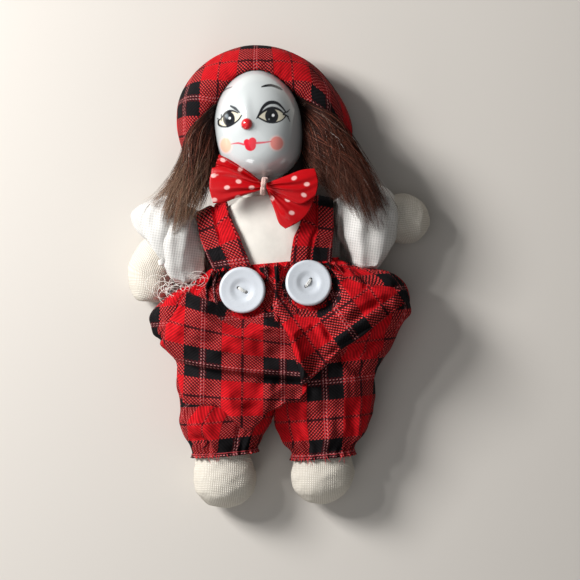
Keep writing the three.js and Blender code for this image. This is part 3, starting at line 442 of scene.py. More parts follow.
def plaid_look():
    """Twill of red and black bands with a pair of thin pale lines in each black one, with painted shade
    along each thread float and painted highlights on red ones.
    """
    look = Look("plaid_twill", RED_THREAD, 0.9, **{"Specular IOR Level": 0.12})
    bands = [(threads / (THREADS / 2), colour) for threads, colour in PLAID_BANDS]
    yarns, rounds = [], []
    counts = [look.math("MULTIPLY", axis, THREADS / PERIOD) for axis in look.uv()]
    for count in counts:
        share = look.math("FRACT", look.math("ADD", look.math("DIVIDE", count, THREADS), 0.5))
        fold = look.math("MULTIPLY", look.math("ABSOLUTE", look.math("SUBTRACT", share, 0.5)), 2.0)
        yarns.append(look.bands(fold, bands))
        rounds.append(look.humps(count, 1))
    diagonal = look.math("ADD", look.math("FLOOR", counts[0]), look.math("FLOOR", counts[1]))
    twill = look.math("LESS_THAN", look.math("FLOORED_MODULO", diagonal, 4.0), 1.5)
    cloth = look.mix(twill, yarns[1], yarns[0])
    # Painted shade: each float darkens toward its ends, as shade between the threads; patchy is random tone.
    across = look.math("MULTIPLY", look.math("SUBTRACT", *counts), math.pi / 2)
    painted_float_shade = look.math("MULTIPLY_ADD", look.math("COSINE", across), 0.28, 0.84)
    patchy = look.math("MULTIPLY_ADD", look.noise(420.0, 4.0), 0.7, 0.72)
    shade = look.math("MULTIPLY", painted_float_shade, patchy)
    grey = look.add("ShaderNodeCombineColor", [(0, shade), (1, shade), (2, shade)]).outputs[0]
    cloth = look.mix(1.0, cloth, grey, "MULTIPLY")
    # Painted highlights: pink spots at the middle of red float runs where they cross dark threads.
    contrast = look.math("ABSOLUTE", look.math("SUBTRACT", *(look.red(yarn) for yarn in yarns)))
    dots = look.math("POWER", look.math("MULTIPLY_ADD", look.math("COSINE", across), 0.5, 0.5), 2.5)
    on_top = look.math("GREATER_THAN", look.red(cloth), 0.2)
    painted_float_highlight = look.math("MULTIPLY", look.math("MULTIPLY", contrast, dots), on_top)
    look.colour(look.mix(look.math("MULTIPLY", painted_float_highlight, 0.7), cloth, (0.82, 0.25, 0.22)))
    mixed = look.add("ShaderNodeMix", [(0, twill), (2, rounds[1]), (3, rounds[0])]).outputs[0]
    look.bump(mixed, 0.09, 0.8)
    look.bump(look.noise(620.0, 3.0), 0.35, 0.45)
    return look.material, "plaid"


def cotton_look():
    """Plain woven cotton."""
    colour, pitch = (0.78, 0.74, 0.67), 0.4
    look = Look("cream_cotton", colour, 0.9, **{"Sheen Weight": 0.15})
    look.bump(look.math("MULTIPLY", *(look.wave(axis, pitch) for axis in look.uv())), 0.03, 0.5)
    look.bump(look.noise(450.0, 3.0), 0.3, 0.3)
    darker, lighter = (tuple(c * share for c in colour) for share in (0.86, 1.05))
    look.colour(look.mix(look.noise(260.0, 4.0), darker, lighter))
    return look.material, "cotton"


def knit_look():
    """Ribs of small stitches along the limb, with painted shade in the grooves between them."""
    wale, course = 0.62, 0.54
    look = Look("stocking_knit", (0.84, 0.79, 0.70), 0.95, **{"Specular IOR Level": 0.2})
    u, v = look.uv()
    slant = look.humps(u, wale)
    loops = look.wave(look.math("MULTIPLY_ADD", slant, 0.45 * course, v), course)
    rib = look.math("POWER", slant, 0.6)
    height = look.math("MULTIPLY", rib, look.math("MULTIPLY_ADD", loops, 0.3, 0.7))
    look.bump(height, 0.22, 0.9)
    look.bump(look.noise(3000.0, 2.0), 0.05, 0.4)
    fluff = look.mix(look.noise(350.0, 3.0), (0.78, 0.73, 0.64), (0.90, 0.86, 0.79))
    # Painted shade: the knit darkens toward the low parts between stitches; fluff is random tone.
    look.colour(look.mix(height, (0.50, 0.44, 0.35), fluff))
    return look.material, "knit"


def painted_look(name, slot, colour, rough, **values):
    """Fibres that take their colour from what is painted on them."""
    look = Look(name, colour, rough, **values)
    look.colour(look.painted())
    return look.material, slot


def porcelain_look():
    coat = {"Coat Weight": 0.8, "Coat Roughness": 0.03}
    look = Look("painted_porcelain", GLAZE, 0.14, **coat)
    look.colour(look.painted())
    look.bump(look.noise(160.0, 2.0), 0.12, 0.12)
    return look.material, "porcelain"


def satin_look():
    shine = {"Specular IOR Level": 0.28, "Anisotropic": 0.5}
    look = Look("dotted_satin", (0.6, 0.01, 0.015), 0.27, **shine)
    look.colour(look.painted())
    look.bump(look.wave(look.uv()[1], 0.22), 0.012, 0.5)
    look.bump(look.noise(500.0, 3.0), 0.15, 0.4)
    return look.material, "satin"


def thread_look(name, slot, colour, pitch=0.5):
    """Twisted thread or cord. Its cloth coordinates run round it and along it."""
    look = Look(name, colour, 0.75, **{"Sheen Weight": 0.2})
    twist = look.wave(look.math("ADD", *look.uv()), pitch)
    look.bump(twist, 0.1, 0.7)
    # Painted shade: the thread darkens in the grooves of its twist.
    darker = tuple(c * 0.7 for c in colour)
    look.colour(look.mix(look.math("MULTIPLY_ADD", twist, 0.5, 0.5), darker, colour))
    return look.material, slot


def button_look():
    values = {
        "Coat Weight": 0.3,
        "Coat Roughness": 0.15,
        "Subsurface Weight": 0.25,
        "Subsurface Scale": 0.8 * MM,
        "Subsurface Radius": (1, 1, 1),
    }
    look = Look("milky_button", (0.64, 0.67, 0.71), 0.28, **values)
    look.colour(look.mix(look.noise(160.0, 3.0), (0.54, 0.57, 0.61), (0.66, 0.69, 0.73)))
    worn = look.math("MULTIPLY_ADD", look.noise(900.0, 2.0), 0.2, 0.2)
    look.plug(look.shader.inputs["Roughness"], worn)
    return look.material, "button"


def gauze_look():
    """Thin open weave that shows a little of what lies behind it."""
    look = Look("white_gauze", (0.86, 0.84, 0.80), 0.9, **{"Specular IOR Level": 0.2})
    pitch = 0.5
    hole = look.math("MULTIPLY", *(look.humps(axis, pitch) for axis in look.uv()))
    solid = look.math("MULTIPLY_ADD", look.math("POWER", hole, 1.5), -0.6, 0.98)
    look.bump(look.math("MULTIPLY", hole, -1.0), 0.1, 0.8)
    look.plug(look.shader.inputs["Alpha"], solid)
    look.colour(look.mix(look.noise(180.0, 3.0), (0.66, 0.64, 0.60), (0.80, 0.78, 0.75)))
    look.bump(look.noise(240.0, 3.0), 0.12, 0.5)
    return look.material, "gauze"


PLAID = plaid_look()
COTTON = cotton_look()
KNIT = knit_look()
HAIR = painted_look("doll_hair", "hair", (0.08, 0.03, 0.02), 0.5, **{"Specular IOR Level": 0.16})
PORCELAIN = porcelain_look()
SATIN = satin_look()
GAUZE = gauze_look()
BUTTON = button_look()
SEWING_THREAD = thread_look("sewing_thread", "thread", (0.85, 0.84, 0.80))
RED_SEWING = thread_look("red_sewing_thread", "thread", (0.5, 0.02, 0.03))
LOOSE_THREAD = painted_look("loose_thread", "thread", (0.8, 0.78, 0.72), 0.8)
PINK_CORD = thread_look("pale_pink_cord", "cord", (0.82, 0.52, 0.45), 0.8)


# Camera, lights and floor


WORLD_STRENGTH = 0.135
LAMPS = {  # place in metres, size in metres and power in watts
    "key": ((-0.40, 0.28, 0.34), 0.18, 4.8),
    "glint": ((-0.30, 0.20, 0.42), 0.03, 0.35),
    "low": ((-0.32, -0.50, 0.30), 0.2, 0.6),
    "fill": ((-0.16, -0.1, 0.8), 0.6, 0.6),
}


def make_stage():
    camera = bpy.data.cameras.new("camera")
    camera.sensor_width, camera.lens, camera.clip_end = 36.0, CAMERA_LENS, 20
    eye = bpy.data.objects.new("camera", camera)
    eye.location = CAMERA * MM
    eye.rotation_euler = (0, 0, -LEAN)
    bpy.context.collection.objects.link(eye)
    scene = bpy.context.scene
    scene.camera = eye
    scene.view_settings.view_transform = "Standard"

    world = bpy.data.worlds.new("studio")
    world.use_nodes = True
    background = world.node_tree.nodes["Background"]
    background.inputs["Color"].default_value = (0.96, 0.98, 1.0, 1)
    background.inputs["Strength"].default_value = WORLD_STRENGTH
    scene.world = world
    for name, (place, size, power) in LAMPS.items():
        lamp = bpy.data.lights.new(name, "AREA")
        lamp.shape, lamp.size, lamp.energy = "SQUARE", size, power
        holder = bpy.data.objects.new(name, lamp)
        holder.location = place
        holder.rotation_euler = (-Vector(place)).to_track_quat("-Z", "Y").to_euler()
        bpy.context.collection.objects.link(holder)

    side, drop = 3000.0, 0.05
    corners = np.array([(x * side, y * side, -drop) for x, y in ((-1, -1), (1, -1), (1, 1), (-1, 1))])
    look = Look("pale_floor", (0.62, 0.58, 0.53), 0.7)
    look.colour(look.mix(look.noise(3.0, 2.0), (0.60, 0.56, 0.51), (0.64, 0.60, 0.55)))
    floor = build("floor", corners, [np.array([[0, 1, 2, 3]])], closed=False)
    floor.data.materials.append(look.material)


# Head: a glazed egg with a ball nose, painted by distance from each stroke

HEAD_HEIGHT = 18.0
HEAD_TOP, CHIN = 80.4, 45.9
HEAD_WIDTH, HEAD_DEPTH = 27.2, 28.0
NOSE = np.array([-3.4, 62.5])
NOSE_RADIUS = 1.72
SOCKETS = {"right": (-8.6, 64.5), "left": (4.4, 64.3)}
HEAD_PROFILE = [  # share of the length from the top, rise of the middle, and shares of width and depth
    (0, -0.4, 0.03, 0.03), (0.035, -0.4, 0.16, 0.16), (0.12, -0.2, 0.3, 0.3), (0.25, 0, 0.42, 0.42),
    (0.4, 0, 0.485, 0.49), (0.55, 0, 0.5, 0.5), (0.7, 0, 0.488, 0.488), (0.83, 0.3, 0.44, 0.44),
    (0.93, 0.4, 0.335, 0.34), (0.985, 0, 0.235, 0.25),
]
NECK_RINGS = [(46.6, 16.6, 6.4), (45.2, 15.7, 5.8), (42.0, 15.5, 5.8)]  # y, z and radius


def seen(points):
    """Where each point appears on the plane of the painted face."""
    share = (CAMERA[2] - FACE_LEVEL) / (CAMERA[2] - points[..., 2])
    return CAMERA[:2] + (points[..., :2] - CAMERA[:2]) * share[..., None]


class Brush:
    """Paints colours on points by their place in the photo's plane."""

    def __init__(self, places, colour):
        self.at = places.reshape(-1, 2)
        self.colours = np.tile(np.array(colour, float), (len(self.at), 1))

    def lay(self, mask, colour):
        self.colours += (np.array(colour, float) - self.colours) * np.clip(mask, 0, 1)[:, None]

    def disc(self, middle, radii, colour, edge=0.12, turn=0.0):
        """An oval, turned about its middle."""
        c, s = math.cos(turn), math.sin(turn)
        offset = (self.at - middle) @ np.array([[c, -s], [s, c]])
        radii = np.broadcast_to(np.array(radii, float), 2)
        reach = np.linalg.norm(offset / radii, axis=1)
        self.lay(1 - smooth(1 - edge / radii.min(), 1 + edge / radii.min(), reach), colour)

    def stroke(self, points, widths, colour, edge=0.09):
        """A line of varying width through the points."""
        line = through(points, STROKE_POINTS)
        along, at = np.linspace(0, 1, STROKE_POINTS), np.linspace(0, 1, len(widths))
        width = np.interp(along, at, widths) * LINE_GAIN / 2
        near = np.full(len(self.at), FAR)
        for a, b, wa, wb in zip(line, line[1:], width, width[1:]):
            ab = b - a
            t = np.clip((self.at - a) @ ab / max(ab @ ab, 1e-9), 0, 1)
            away = np.linalg.norm(self.at - a - t[:, None] * ab, axis=1) - (wa + (wb - wa) * t)
            near = np.minimum(near, away)
        self.lay(1 - smooth(-edge, edge, near), colour)

    def patch(self, outline, colour, edge=0.08):
        """The inside of a closed smooth outline."""
        line = around(outline, 90)
        after = np.roll(line, -1, 0)
        inside = np.zeros(len(self.at), bool)
        near = np.full(len(self.at), FAR)
        x, y = self.at.T
        for a, b in zip(line, after):
            crosses = (a[1] > y) != (b[1] > y)
            at = a[0] + (y - a[1]) / (b[1] - a[1] + 1e-12) * (b[0] - a[0])
            inside ^= crosses & (x < at)
            ab = b - a
            t = np.clip((self.at - a) @ ab / max(ab @ ab, 1e-9), 0, 1)
            near = np.minimum(near, np.linalg.norm(self.at - a - t[:, None] * ab, axis=1))
        signed = np.where(inside, -near, near)
        mask = 1 - smooth(-edge, edge, signed)
        self.lay(mask, colour)
        return mask


INK = (0.012, 0.013, 0.016)
LIP = (0.66, 0.012, 0.03)
SMILE = (0.62, 0.09, 0.12)
LINE_GAIN = 1.8  # the painted lines are this much wider than first measured
STROKE_POINTS = 40
FAR = 99.0
EYE_OUTLINES = {
    "left": [
        (0.1, 64.3), (1.8, 65.7), (3.5, 66.5), (5.1, 66.6), (6.6, 66.1), (7.8, 65.1), (8.7, 63.9),
        (8.2, 63.3), (7.2, 62.6), (5.8, 62.2), (4.3, 62.2), (2.8, 62.6), (1.4, 63.4),
    ],
    "right": [
        (-12.0, 64.2), (-11.9, 63.0), (-10.6, 62.3), (-9.0, 62.3), (-7.3, 63.0), (-5.8, 64.0), (-4.8, 65.2),
        (-5.8, 66.1), (-7.1, 66.8), (-8.3, 66.9), (-9.4, 66.5), (-10.5, 65.5), (-11.3, 64.7),
    ],
}


def paint_face(points):
    brush = Brush(seen(points), GLAZE)
    # Blush, cheeks, mouth and nose
    for middle, radii, colour in (
        ((-10.4, 56.6), (1.6, 2.2), (0.92, 0.50, 0.36)),
        ((5.2, 55.8), (1.95, 2.05), (0.88, 0.30, 0.26)),
    ):
        brush.disc(middle, np.array(radii) + 0.35, (0.86, 0.62, 0.58), 0.5)
        brush.disc(middle, radii, colour, 0.16)
    brush.stroke([(-4.8, 56.3), (-6.6, 56.9), (-8.7, 56.8)], [0.35, 0.3, 0.12], SMILE)
    brush.stroke([(-1.0, 56.4), (1.1, 56.4), (3.5, 56.5)], [0.4, 0.32, 0.15], SMILE)
    brush.disc((-2.9, 55.9), (1.72, 1.75), LIP)
    brush.disc((-2.15, 57.0), (1.2, 1.25), LIP)
    brush.disc((-3.85, 56.9), (1.0, 1.0), LIP)
    brush.disc(NOSE, NOSE_RADIUS, (0.66, 0.014, 0.02), 0.1)
    brush.disc(NOSE + [-1.35, -0.75], 0.3, (0.3, 0.01, 0.01), 0.1)
    # Eyes, with painted highlights and reflections on the irises
    cream, iris = (0.70, 0.65, 0.50), (0.006, 0.007, 0.008)
    for side, middle, radii in (("left", (4.4, 64.2), (1.95, 2.15)), ("right", (-8.7, 64.5), (1.75, 2.25))):
        middle, radii = np.array(middle), np.array(radii)
        white = brush.patch(EYE_OUTLINES[side], cream)
        before = brush.colours.copy()
        brush.disc(middle, radii + 0.08, INK, 0.1)
        # Painted reflection: a slightly lighter patch at the upper left of each iris.
        brush.disc(middle + [-0.25, 0.35], radii * 0.6, (0.016, 0.018, 0.019), 0.6)
        brush.disc(middle + [0.1, -0.1], radii * 0.55, iris, 0.2)
        brush.colours = before + (brush.colours - before) * white[:, None]
    # Painted highlights: a white dot and a small grey spot on each iris.
    brush.disc((4.85, 64.4), 0.42, (0.95, 0.96, 0.96), 0.12)
    brush.disc((3.5, 63.3), 0.2, (0.35, 0.38, 0.38), 0.15)
    brush.disc((-8.45, 64.75), 0.36, (0.92, 0.94, 0.94), 0.12)
    brush.disc((-9.4, 65.6), (0.5, 0.9), (0.22, 0.25, 0.27), 0.4, 0.4)
    left, right = EYE_OUTLINES["left"], EYE_OUTLINES["right"]
    brush.stroke(left[:7], [0.18, 0.35, 0.5, 0.5, 0.42, 0.3, 0.2], INK)
    brush.stroke([left[0], *left[:6:-1], left[6]], [0.25, 0.32, 0.3, 0.22, 0.2, 0.25], INK)
    brush.stroke(right[6::-1], [0.22, 0.25, 0.3, 0.3, 0.35, 0.3], INK)
    brush.stroke([right[0], *right[:6:-1]], [0.25, 0.2, 0.25, 0.4, 0.4, 0.3, 0.2], INK)
    # Lids, lashes and brows
    lid = [(-0.3, 63.9), (0.1, 64.3), (0.9, 65.5), (1.9, 67.0), (3.3, 68.1), (4.9, 68.4), (6.5, 67.9),
           (7.8, 66.6), (8.9, 64.9)]
    brush.stroke(lid, [0.15, 0.3, 0.4, 0.5, 0.62, 0.62, 0.5, 0.35, 0.2], INK)
    brush.stroke([(8.5, 64.9), (9.3, 65.1), (10.1, 65.8)], [0.3, 0.25, 0.1], INK)
    brush.stroke([(8.0, 64.4), (9.1, 63.8), (9.8, 62.0)], [0.3, 0.28, 0.1], INK)
    brush.stroke([(8.7, 64.0), (9.5, 63.6)], [0.25, 0.15], INK)
    brush.stroke([(-7.8, 68.4), (-6.5, 67.5), (-5.3, 66.2)], [0.3, 0.5, 0.2], (0.05, 0.055, 0.06))
    brush.stroke([(-12.2, 64.9), (-11.1, 64.4)], [0.18, 0.12], INK)
    brush.stroke([(-10.9, 66.0), (-11.05, 64.1)], [0.2, 0.1], INK)
    brow = [(2.2, 73.4), (3.4, 73.6), (5.0, 73.6), (6.4, 73.1), (7.5, 72.5), (8.3, 71.9)]
    brush.stroke(brow, [0.22, 0.42, 0.45, 0.42, 0.42, 0.2], INK)
    brush.stroke([(-9.7, 73.0), (-8.6, 73.7), (-6.9, 74.2)], [0.1, 0.22, 0.12], (0.16, 0.17, 0.17))
    return brush.colours


def make_head():
    length = HEAD_TOP - CHIN
    stations = [
        [0, HEAD_TOP - length * share, HEAD_HEIGHT + rise, HEAD_WIDTH * wide, HEAD_DEPTH * deep]
        for share, rise, wide, deep in HEAD_PROFILE
    ]
    spread = np.linspace(-1, 1, 340, endpoint=False)
    angles = np.pi / 2 + np.pi * spread * (0.45 + 0.55 * spread**2)
    grid = form(stations, 270, angles, square=2.0)
    out = unit(grid - [0, 63.5, HEAD_HEIGHT])
    places = seen(grid)
    front = smooth(0, 6, grid[..., 2] - HEAD_HEIGHT)

    def near(middle, reach):
        return np.exp(-(((places - middle) / reach) ** 2).sum(-1)) * front

    away = np.linalg.norm(places - NOSE, axis=-1)
    ball = np.sqrt(np.clip(1 - (away / NOSE_RADIUS) ** 2, 0, 1)) * front
    rise = 0.9 * near(NOSE, 2.6) + 1.15 * ball + 0.5 * near(NOSE + [0.4, 4.5], [1.5, 4.0])
    rise -= 0.55 * near(SOCKETS["left"], [3.6, 2.8]) + 0.55 * near(SOCKETS["right"], [3.0, 2.8])
    rise += 0.35 * near([-10.5, 56.6], 3.4) + 0.35 * near([5.0, 56.0], 3.8) + 0.3 * near([-2.9, 56.2], 2.2)
    grid = grid + out * rise[..., None]
    neck = form([[0, y, z, r, r] for y, z, r in NECK_RINGS], 14, angles, 2.0)
    grid = np.concatenate([grid, neck])
    paint = paint_face(grid).reshape(*grid.shape[:2], 3)
    skin("painted_head", grid, paint=paint, look=PORCELAIN, body="head", replaces=("porcelain_head",))
    return grid


# Beret: a gathered plaid disc, puffed between the head opening and its rim

OPENING_TILT = math.radians(23)
OPENING = np.array([0, 64, 15.5])
OPENING_UP = np.array([0, math.cos(OPENING_TILT), math.sin(OPENING_TILT)])
OPENING_OUT = np.array([0, -math.sin(OPENING_TILT), math.cos(OPENING_TILT)])
BERET_MIDDLE = np.array([1.6, 65.2, 8.2])
BERET_TILT = math.radians(11)
BERET_PUFF = 6.0
BERET_WALL = 0.7
BERET_RIM = [
    (-25.4, 62.0), (-25.4, 68.0), (-24.1, 73.5), (-21.0, 78.6), (-16.6, 82.8), (-11.0, 86.0), (-3.7, 88.0),
    (2.5, 88.0), (9.0, 86.4), (15.2, 83.2), (20.6, 78.6), (25.1, 72.1), (28.2, 65.6), (29.4, 59.0),
    (27.2, 52.6), (21.0, 47.8), (11.0, 45.4), (0.0, 45.0), (-10.0, 46.4), (-18.5, 50.0), (-23.6, 55.4),
]
CROWN_PROFILE = [  # share of the way out to the rim, and height over the rim's plane
    (0.997, -0.5), (0.985, -2.2), (0.93, -4.6), (0.82, -6.8), (0.62, -9.0), (0.4, -9.6), (0.2, -9.8),
    (0.03, -9.8),
]


def beret_edge(head, toward):
    """Where the opening of the beret meets the head, in each direction."""
    edge = np.empty((len(toward), 3))
    for k, (x, y) in enumerate(toward):
        direction = np.array([x, 0, 0]) + y * OPENING_UP
        hit = head.ray_cast(Vector(OPENING + direction * 40), Vector(-direction))[0]
        edge[k] = np.array(hit) + direction * 0.3
    return edge


def beret_level(y):
    """Height of the rim's tilted plane."""
    return BERET_MIDDLE[2] + math.tan(BERET_TILT) * (y - BERET_MIDDLE[1])


def make_beret(head_grid):
    count = 220
    rim = around(BERET_RIM, count)
    rim = np.column_stack([rim, beret_level(rim[:, 1])])
    toward = unit(rim[:, :2] - OPENING[:2])
    edge = beret_edge(tree_of(head_grid), toward)
    across = rim - edge
    out = OPENING_OUT + 0.6 * OPENING_UP
    out = out - unit(across) * (unit(across) @ out)[:, None]
    puff = unit(out) * (BERET_PUFF * (0.4 + 0.6 * toward[:, 0] ** 2))[:, None]
    rows = np.linspace(0, 1, 46) ** 0.9
    top = edge + across * rows[:, None, None]
    profile = np.sin(np.pi * np.clip(rows, 0, 1) ** 0.72) ** 0.7
    top = top + puff * profile[:, None, None]
    turn = np.arange(count) / count * 2 * np.pi
    gathers = np.sin(turn * 31 + 1.7 * np.sin(turn * 5)) * np.exp(-rows[:, None] / 0.16) * 0.22
    folds = waves(top, 16.0, 4) * 0.55 * np.sin(np.pi * rows)[:, None]
    top = top + (unit(out)[None] * (gathers + folds)[..., None])
    top_uv = edge[None, :, :2] + toward[None] * lengths(top)[..., None]

    crown_shape = through(CROWN_PROFILE, 30)
    centre = np.append(BERET_MIDDLE[:2], 0)
    crown = (rim - centre) * [1, 1, 0] * crown_shape[:, 0, None, None] + centre
    crown[..., 2] = beret_level(crown[..., 1])
    crown[..., 2] += crown_shape[:, 1, None] + waves(crown, 14.0, 9) * 0.5
    keep_above(crown, FLOOR_GAP)
    crown_uv = rim[None, :, :2] - toward[None] * lengths(crown)[..., None]

    outside = np.concatenate([crown[::-1], top[::-1]])
    uv = np.concatenate([crown_uv[::-1], top_uv[::-1]])
    uv = turned(uv - [0.7, 80.0], LEAN)
    uv[..., 1] += 9.5 + 0.06 * np.maximum(uv[..., 0] - 14, 0) ** 2
    normal = normals(outside)
    if (normal[-20] * out).sum() < 0:
        normal = -normal
    inside = (outside - normal * BERET_WALL)[::-1]
    keep_above(inside, BERET_WALL)
    grid = np.concatenate([outside, inside])
    uv = np.concatenate([uv, uv[::-1]])
    uv = np.concatenate([uv, uv[:, :1]], 1)
    skin("plaid_beret", grid, uv, look=PLAID, body="head",
         replaces=("beret_crown", "beret_underside", "beret_headband"))
    return outside


# Bow

KNOT = np.array([0.2, 43.1, 28.6])
RIBBON_WALL = 0.15
BOW_CORD_RADIUS = 0.62


def bow_wing(name, top, bottom, level, puff, seed, dots, depth=2.6, bulge=1.0):
    """A pinched loop of ribbon between two edge lines that run out from the knot."""
    rows, cols = 80, 60
    s, t = shares(rows, cols)
    upper, lower = evenly(through(top, 60), rows), evenly(through(bottom, 60), rows)
    front = upper[:, None] * (1 - t[..., None]) + lower[:, None] * t[..., None]
    outward = unit((upper[-1] + lower[-1]) / 2 - KNOT[:2])
    front = front + outward * (bulge * np.sin(np.pi * t) * s**3)[..., None]
    crown = np.sin(np.pi * t) ** 0.6 * (0.3 + 0.7 * np.sin(np.pi * np.clip(s, 0, 1) ** 0.8) ** 0.8)
    random = np.random.default_rng(seed)
    folds = np.zeros((rows, cols))
    for count in (2, 3, 5, 8):
        phase = random.uniform(0, 6.3)
        folds += np.sin(np.pi * count * t + phase) * (1 - s) ** 0.8 * s**0.25 * 1.1 / count**0.7
        folds += 0.25 * np.sin(np.pi * count * t + phase + 2 * s) / count
    front = raised(front, level + puff * crown + folds * 1.35 * np.sin(np.pi * t) ** 0.3)
    back = front.copy()[:, ::-1]
    drop = depth * (0.25 + 0.75 * crown) * (1 - 0.75 * s**6)
    back[..., 2] = (front[..., 2] - drop)[:, ::-1]
    grid = np.concatenate([front, back[:, 1:-1]], 1)
    grid = np.concatenate([lining(grid, RIBBON_WALL)[::-4], grid])
    brush = Brush(seen(grid), SATIN_RED)
    for x, y, turn in dots:
        brush.disc((x, y), (0.85, 0.62), (0.80, 0.44, 0.41), 0.14, turn)
    uv = np.concatenate([grid[..., :2], grid[:, :1, :2]], 1)
    paint = brush.colours.reshape(*grid.shape[:2], 3)
    skin(f"satin_{name}", grid, uv, paint=paint, look=SATIN, body="neck", replaces=(name,))


def make_bow():
    bow_wing(
        "bow_loop_right",
        [(-0.2, 44.3), (-2.2, 45.2), (-5.0, 47.0), (-8.4, 49.2), (-12.0, 50.4), (-15.2, 50.2)],
        [(-0.6, 42.2), (-2.4, 41.7), (-5.6, 41.0), (-9.4, 40.1), (-12.8, 39.2), (-15.9, 39.4)],
        28.4, 1.9, 3,
        [(-14.9, 47.7, 0.2), (-7.5, 45.2, -0.3), (-11.2, 43.7, 0.1), (-3.7, 43.0, 0), (-15.4, 40.3, 0),
         (-8.2, 40.4, 0.3)],
    )
    bow_wing(
        "bow_tail_right",
        [(-0.6, 44.8), (-3.4, 47.4), (-6.8, 50.2), (-10.0, 52.5), (-12.7, 54.2)],
        [(-1.6, 43.8), (-4.4, 45.4), (-8.0, 48.0), (-11.6, 49.6), (-14.2, 50.4)],
        27.2, 1.0, 5, [(-11.7, 52.2, -0.5), (-6.6, 48.9, 0.6)], depth=1.2, bulge=0.2,
    )
    bow_wing(
        "bow_loop_left",
        [(0.8, 44.0), (3.6, 44.8), (7.6, 45.9), (12.0, 47.1), (16.0, 47.2)],
        [(0.8, 42.3), (3.6, 40.4), (7.2, 38.2), (11.0, 36.6), (15.4, 38.6)],
        28.5, 1.8, 11, [(9.5, 44.7, 0.4), (13.2, 42.5, 0), (12.0, 39.3, -0.6)],
    )
    bow_wing(
        "bow_tail_left",
        [(0.9, 43.0), (3.6, 41.8), (7.2, 40.6), (11.4, 39.4), (15.2, 38.4)],
        [(0.7, 42.3), (1.4, 39.8), (2.6, 35.6), (3.6, 31.6), (5.4, 29.6)],
        26.9, 1.7, 17, [(6.9, 38.3, -0.5), (7.8, 34.2, -0.3), (2.2, 39.2, -0.9)], depth=1.6, bulge=1.9,
    )
    turn = np.linspace(0.2, 4.2 * np.pi, 90)
    step = np.linspace(-0.45, 0.45, 90)
    line = np.stack([
        0.1 + step + 0.55 * np.cos(turn),
        43.2 + 2.2 * np.cos(turn) - 0.2 * step,
        27.2 + 4.6 * np.sin(turn),
    ], 1)
    tube("bow_cord", line, BOW_CORD_RADIUS, 12, look=PINK_CORD, body="neck", replaces=("bow_tie",))


# Torso, neck, straps and buttons

TORSO = [
    [0, -21.2, 10, 18.8, 0.9],
    [0, -16.5, 10.3, 19.2, 3.9],
    [0, -11, 11.2, 19.55, 7.9],
    [0, 1.4, 12.4, 19.2, 10.0],
    [0, 14.5, 13, 18.4, 10.5],
    [0, 27.6, 13, 18.8, 10.1],
    [0, 34.1, 13.9, 17.7, 9.1],
    [0, 37.7, 15.0, 14.3, 8.3],
    [0, 39.5, 15.8, 10.2, 7.7],
    [0, 40.6, 15.8, 8.4, 7.6],
]
TORSO_AXIS = np.array([0, 20, 13.0])
NECK_HEIGHT = 15.5
NECK_TIE = 6.95  # radius at which the thread winds round the neck
COLLAR_PROFILE = [  # radius and y
    (6.6, 38.0), (7.0, 40.0), (7.1, 41.4), (6.9, 42.4), (6.5, 43.1), (6.8, 43.7), (7.1, 44.3), (6.8, 44.5),
    (6.2, 44.2),
]


def make_torso():
    grid = form(TORSO, 110, 130, square=2.4)
    out = unit(grid - [0, 15, 13])
    chest = smooth(14, 22, grid[..., 1]) * smooth(12, 18, grid[..., 2])
    folds = 0.35 * waves(grid, 18.0, 2) + 0.12 * chest * np.sin(grid[..., 0] * 0.55 + 0.12 * grid[..., 1])
    grid = grid + out * (folds * smooth(-21, -14, grid[..., 1]))[..., None]
    shirt = skin("cotton_body", grid, look=COTTON, body="torso", replaces=("body_bag", "body_stuffing"))
    return grid


def make_neck():
    cols = 96
    turn = np.arange(cols) / cols * 2 * np.pi
    line = through(COLLAR_PROFILE, 40)
    pleats = 1 + 0.03 * np.sin(turn * 22)[None] * smooth(40, 43, line[:, 1])[:, None]
    radius = line[:, 0, None] * pleats
    level = np.repeat(line[:, 1, None], cols, 1)
    grid = np.stack([radius * np.cos(turn), level, NECK_HEIGHT + radius * np.sin(turn)], -1)
    skin("neck_cloth", grid, look=COTTON, body="neck", replaces=("neck_cuff",))
    wound = np.linspace(0, 6 * np.pi, 150)
    level = 42.7 + wound / wound[-1] * 0.8
    line = np.stack([NECK_TIE * np.cos(wound), level, NECK_HEIGHT + NECK_TIE * np.sin(wound)], 1)
    tube("neck_tie", line, 0.32, 8, look=SEWING_THREAD, body="neck", replaces=("neck_cord",))


STRAP_LINES = {  # degrees round the torso from its front to its back, the middle's x and the half width
    "right": [(150, 9.0, 5.9), (118, 10.4, 5.9), (92, 11.9, 5.9), (69, 13.1, 5.8), (46, 14.5, 5.7),
              (26, 16.2, 5.1), (5, 16.4, 4.7), (-30, 15.2, 4.6), (-60, 13.2, 4.6), (-95, 11.6, 4.6)],
    "left": [(150, 11.2, 6.0), (118, 11.9, 6.2), (92, 12.3, 6.4), (79, 12.6, 6.3), (56, 13.4, 5.9),
             (36, 15.2, 5.0), (5, 16.2, 4.7), (-30, 15.2, 4.6), (-60, 13.2, 4.6), (-95, 11.6, 4.6)],
}
STRAP_ROW = {"right": 17.5, "left": 13.0}  # how far along each strap its black row lies
STRAP_REACH = 14.8  # past this x a strap runs on level, off the shoulder
STRAP_WALL = 1.3


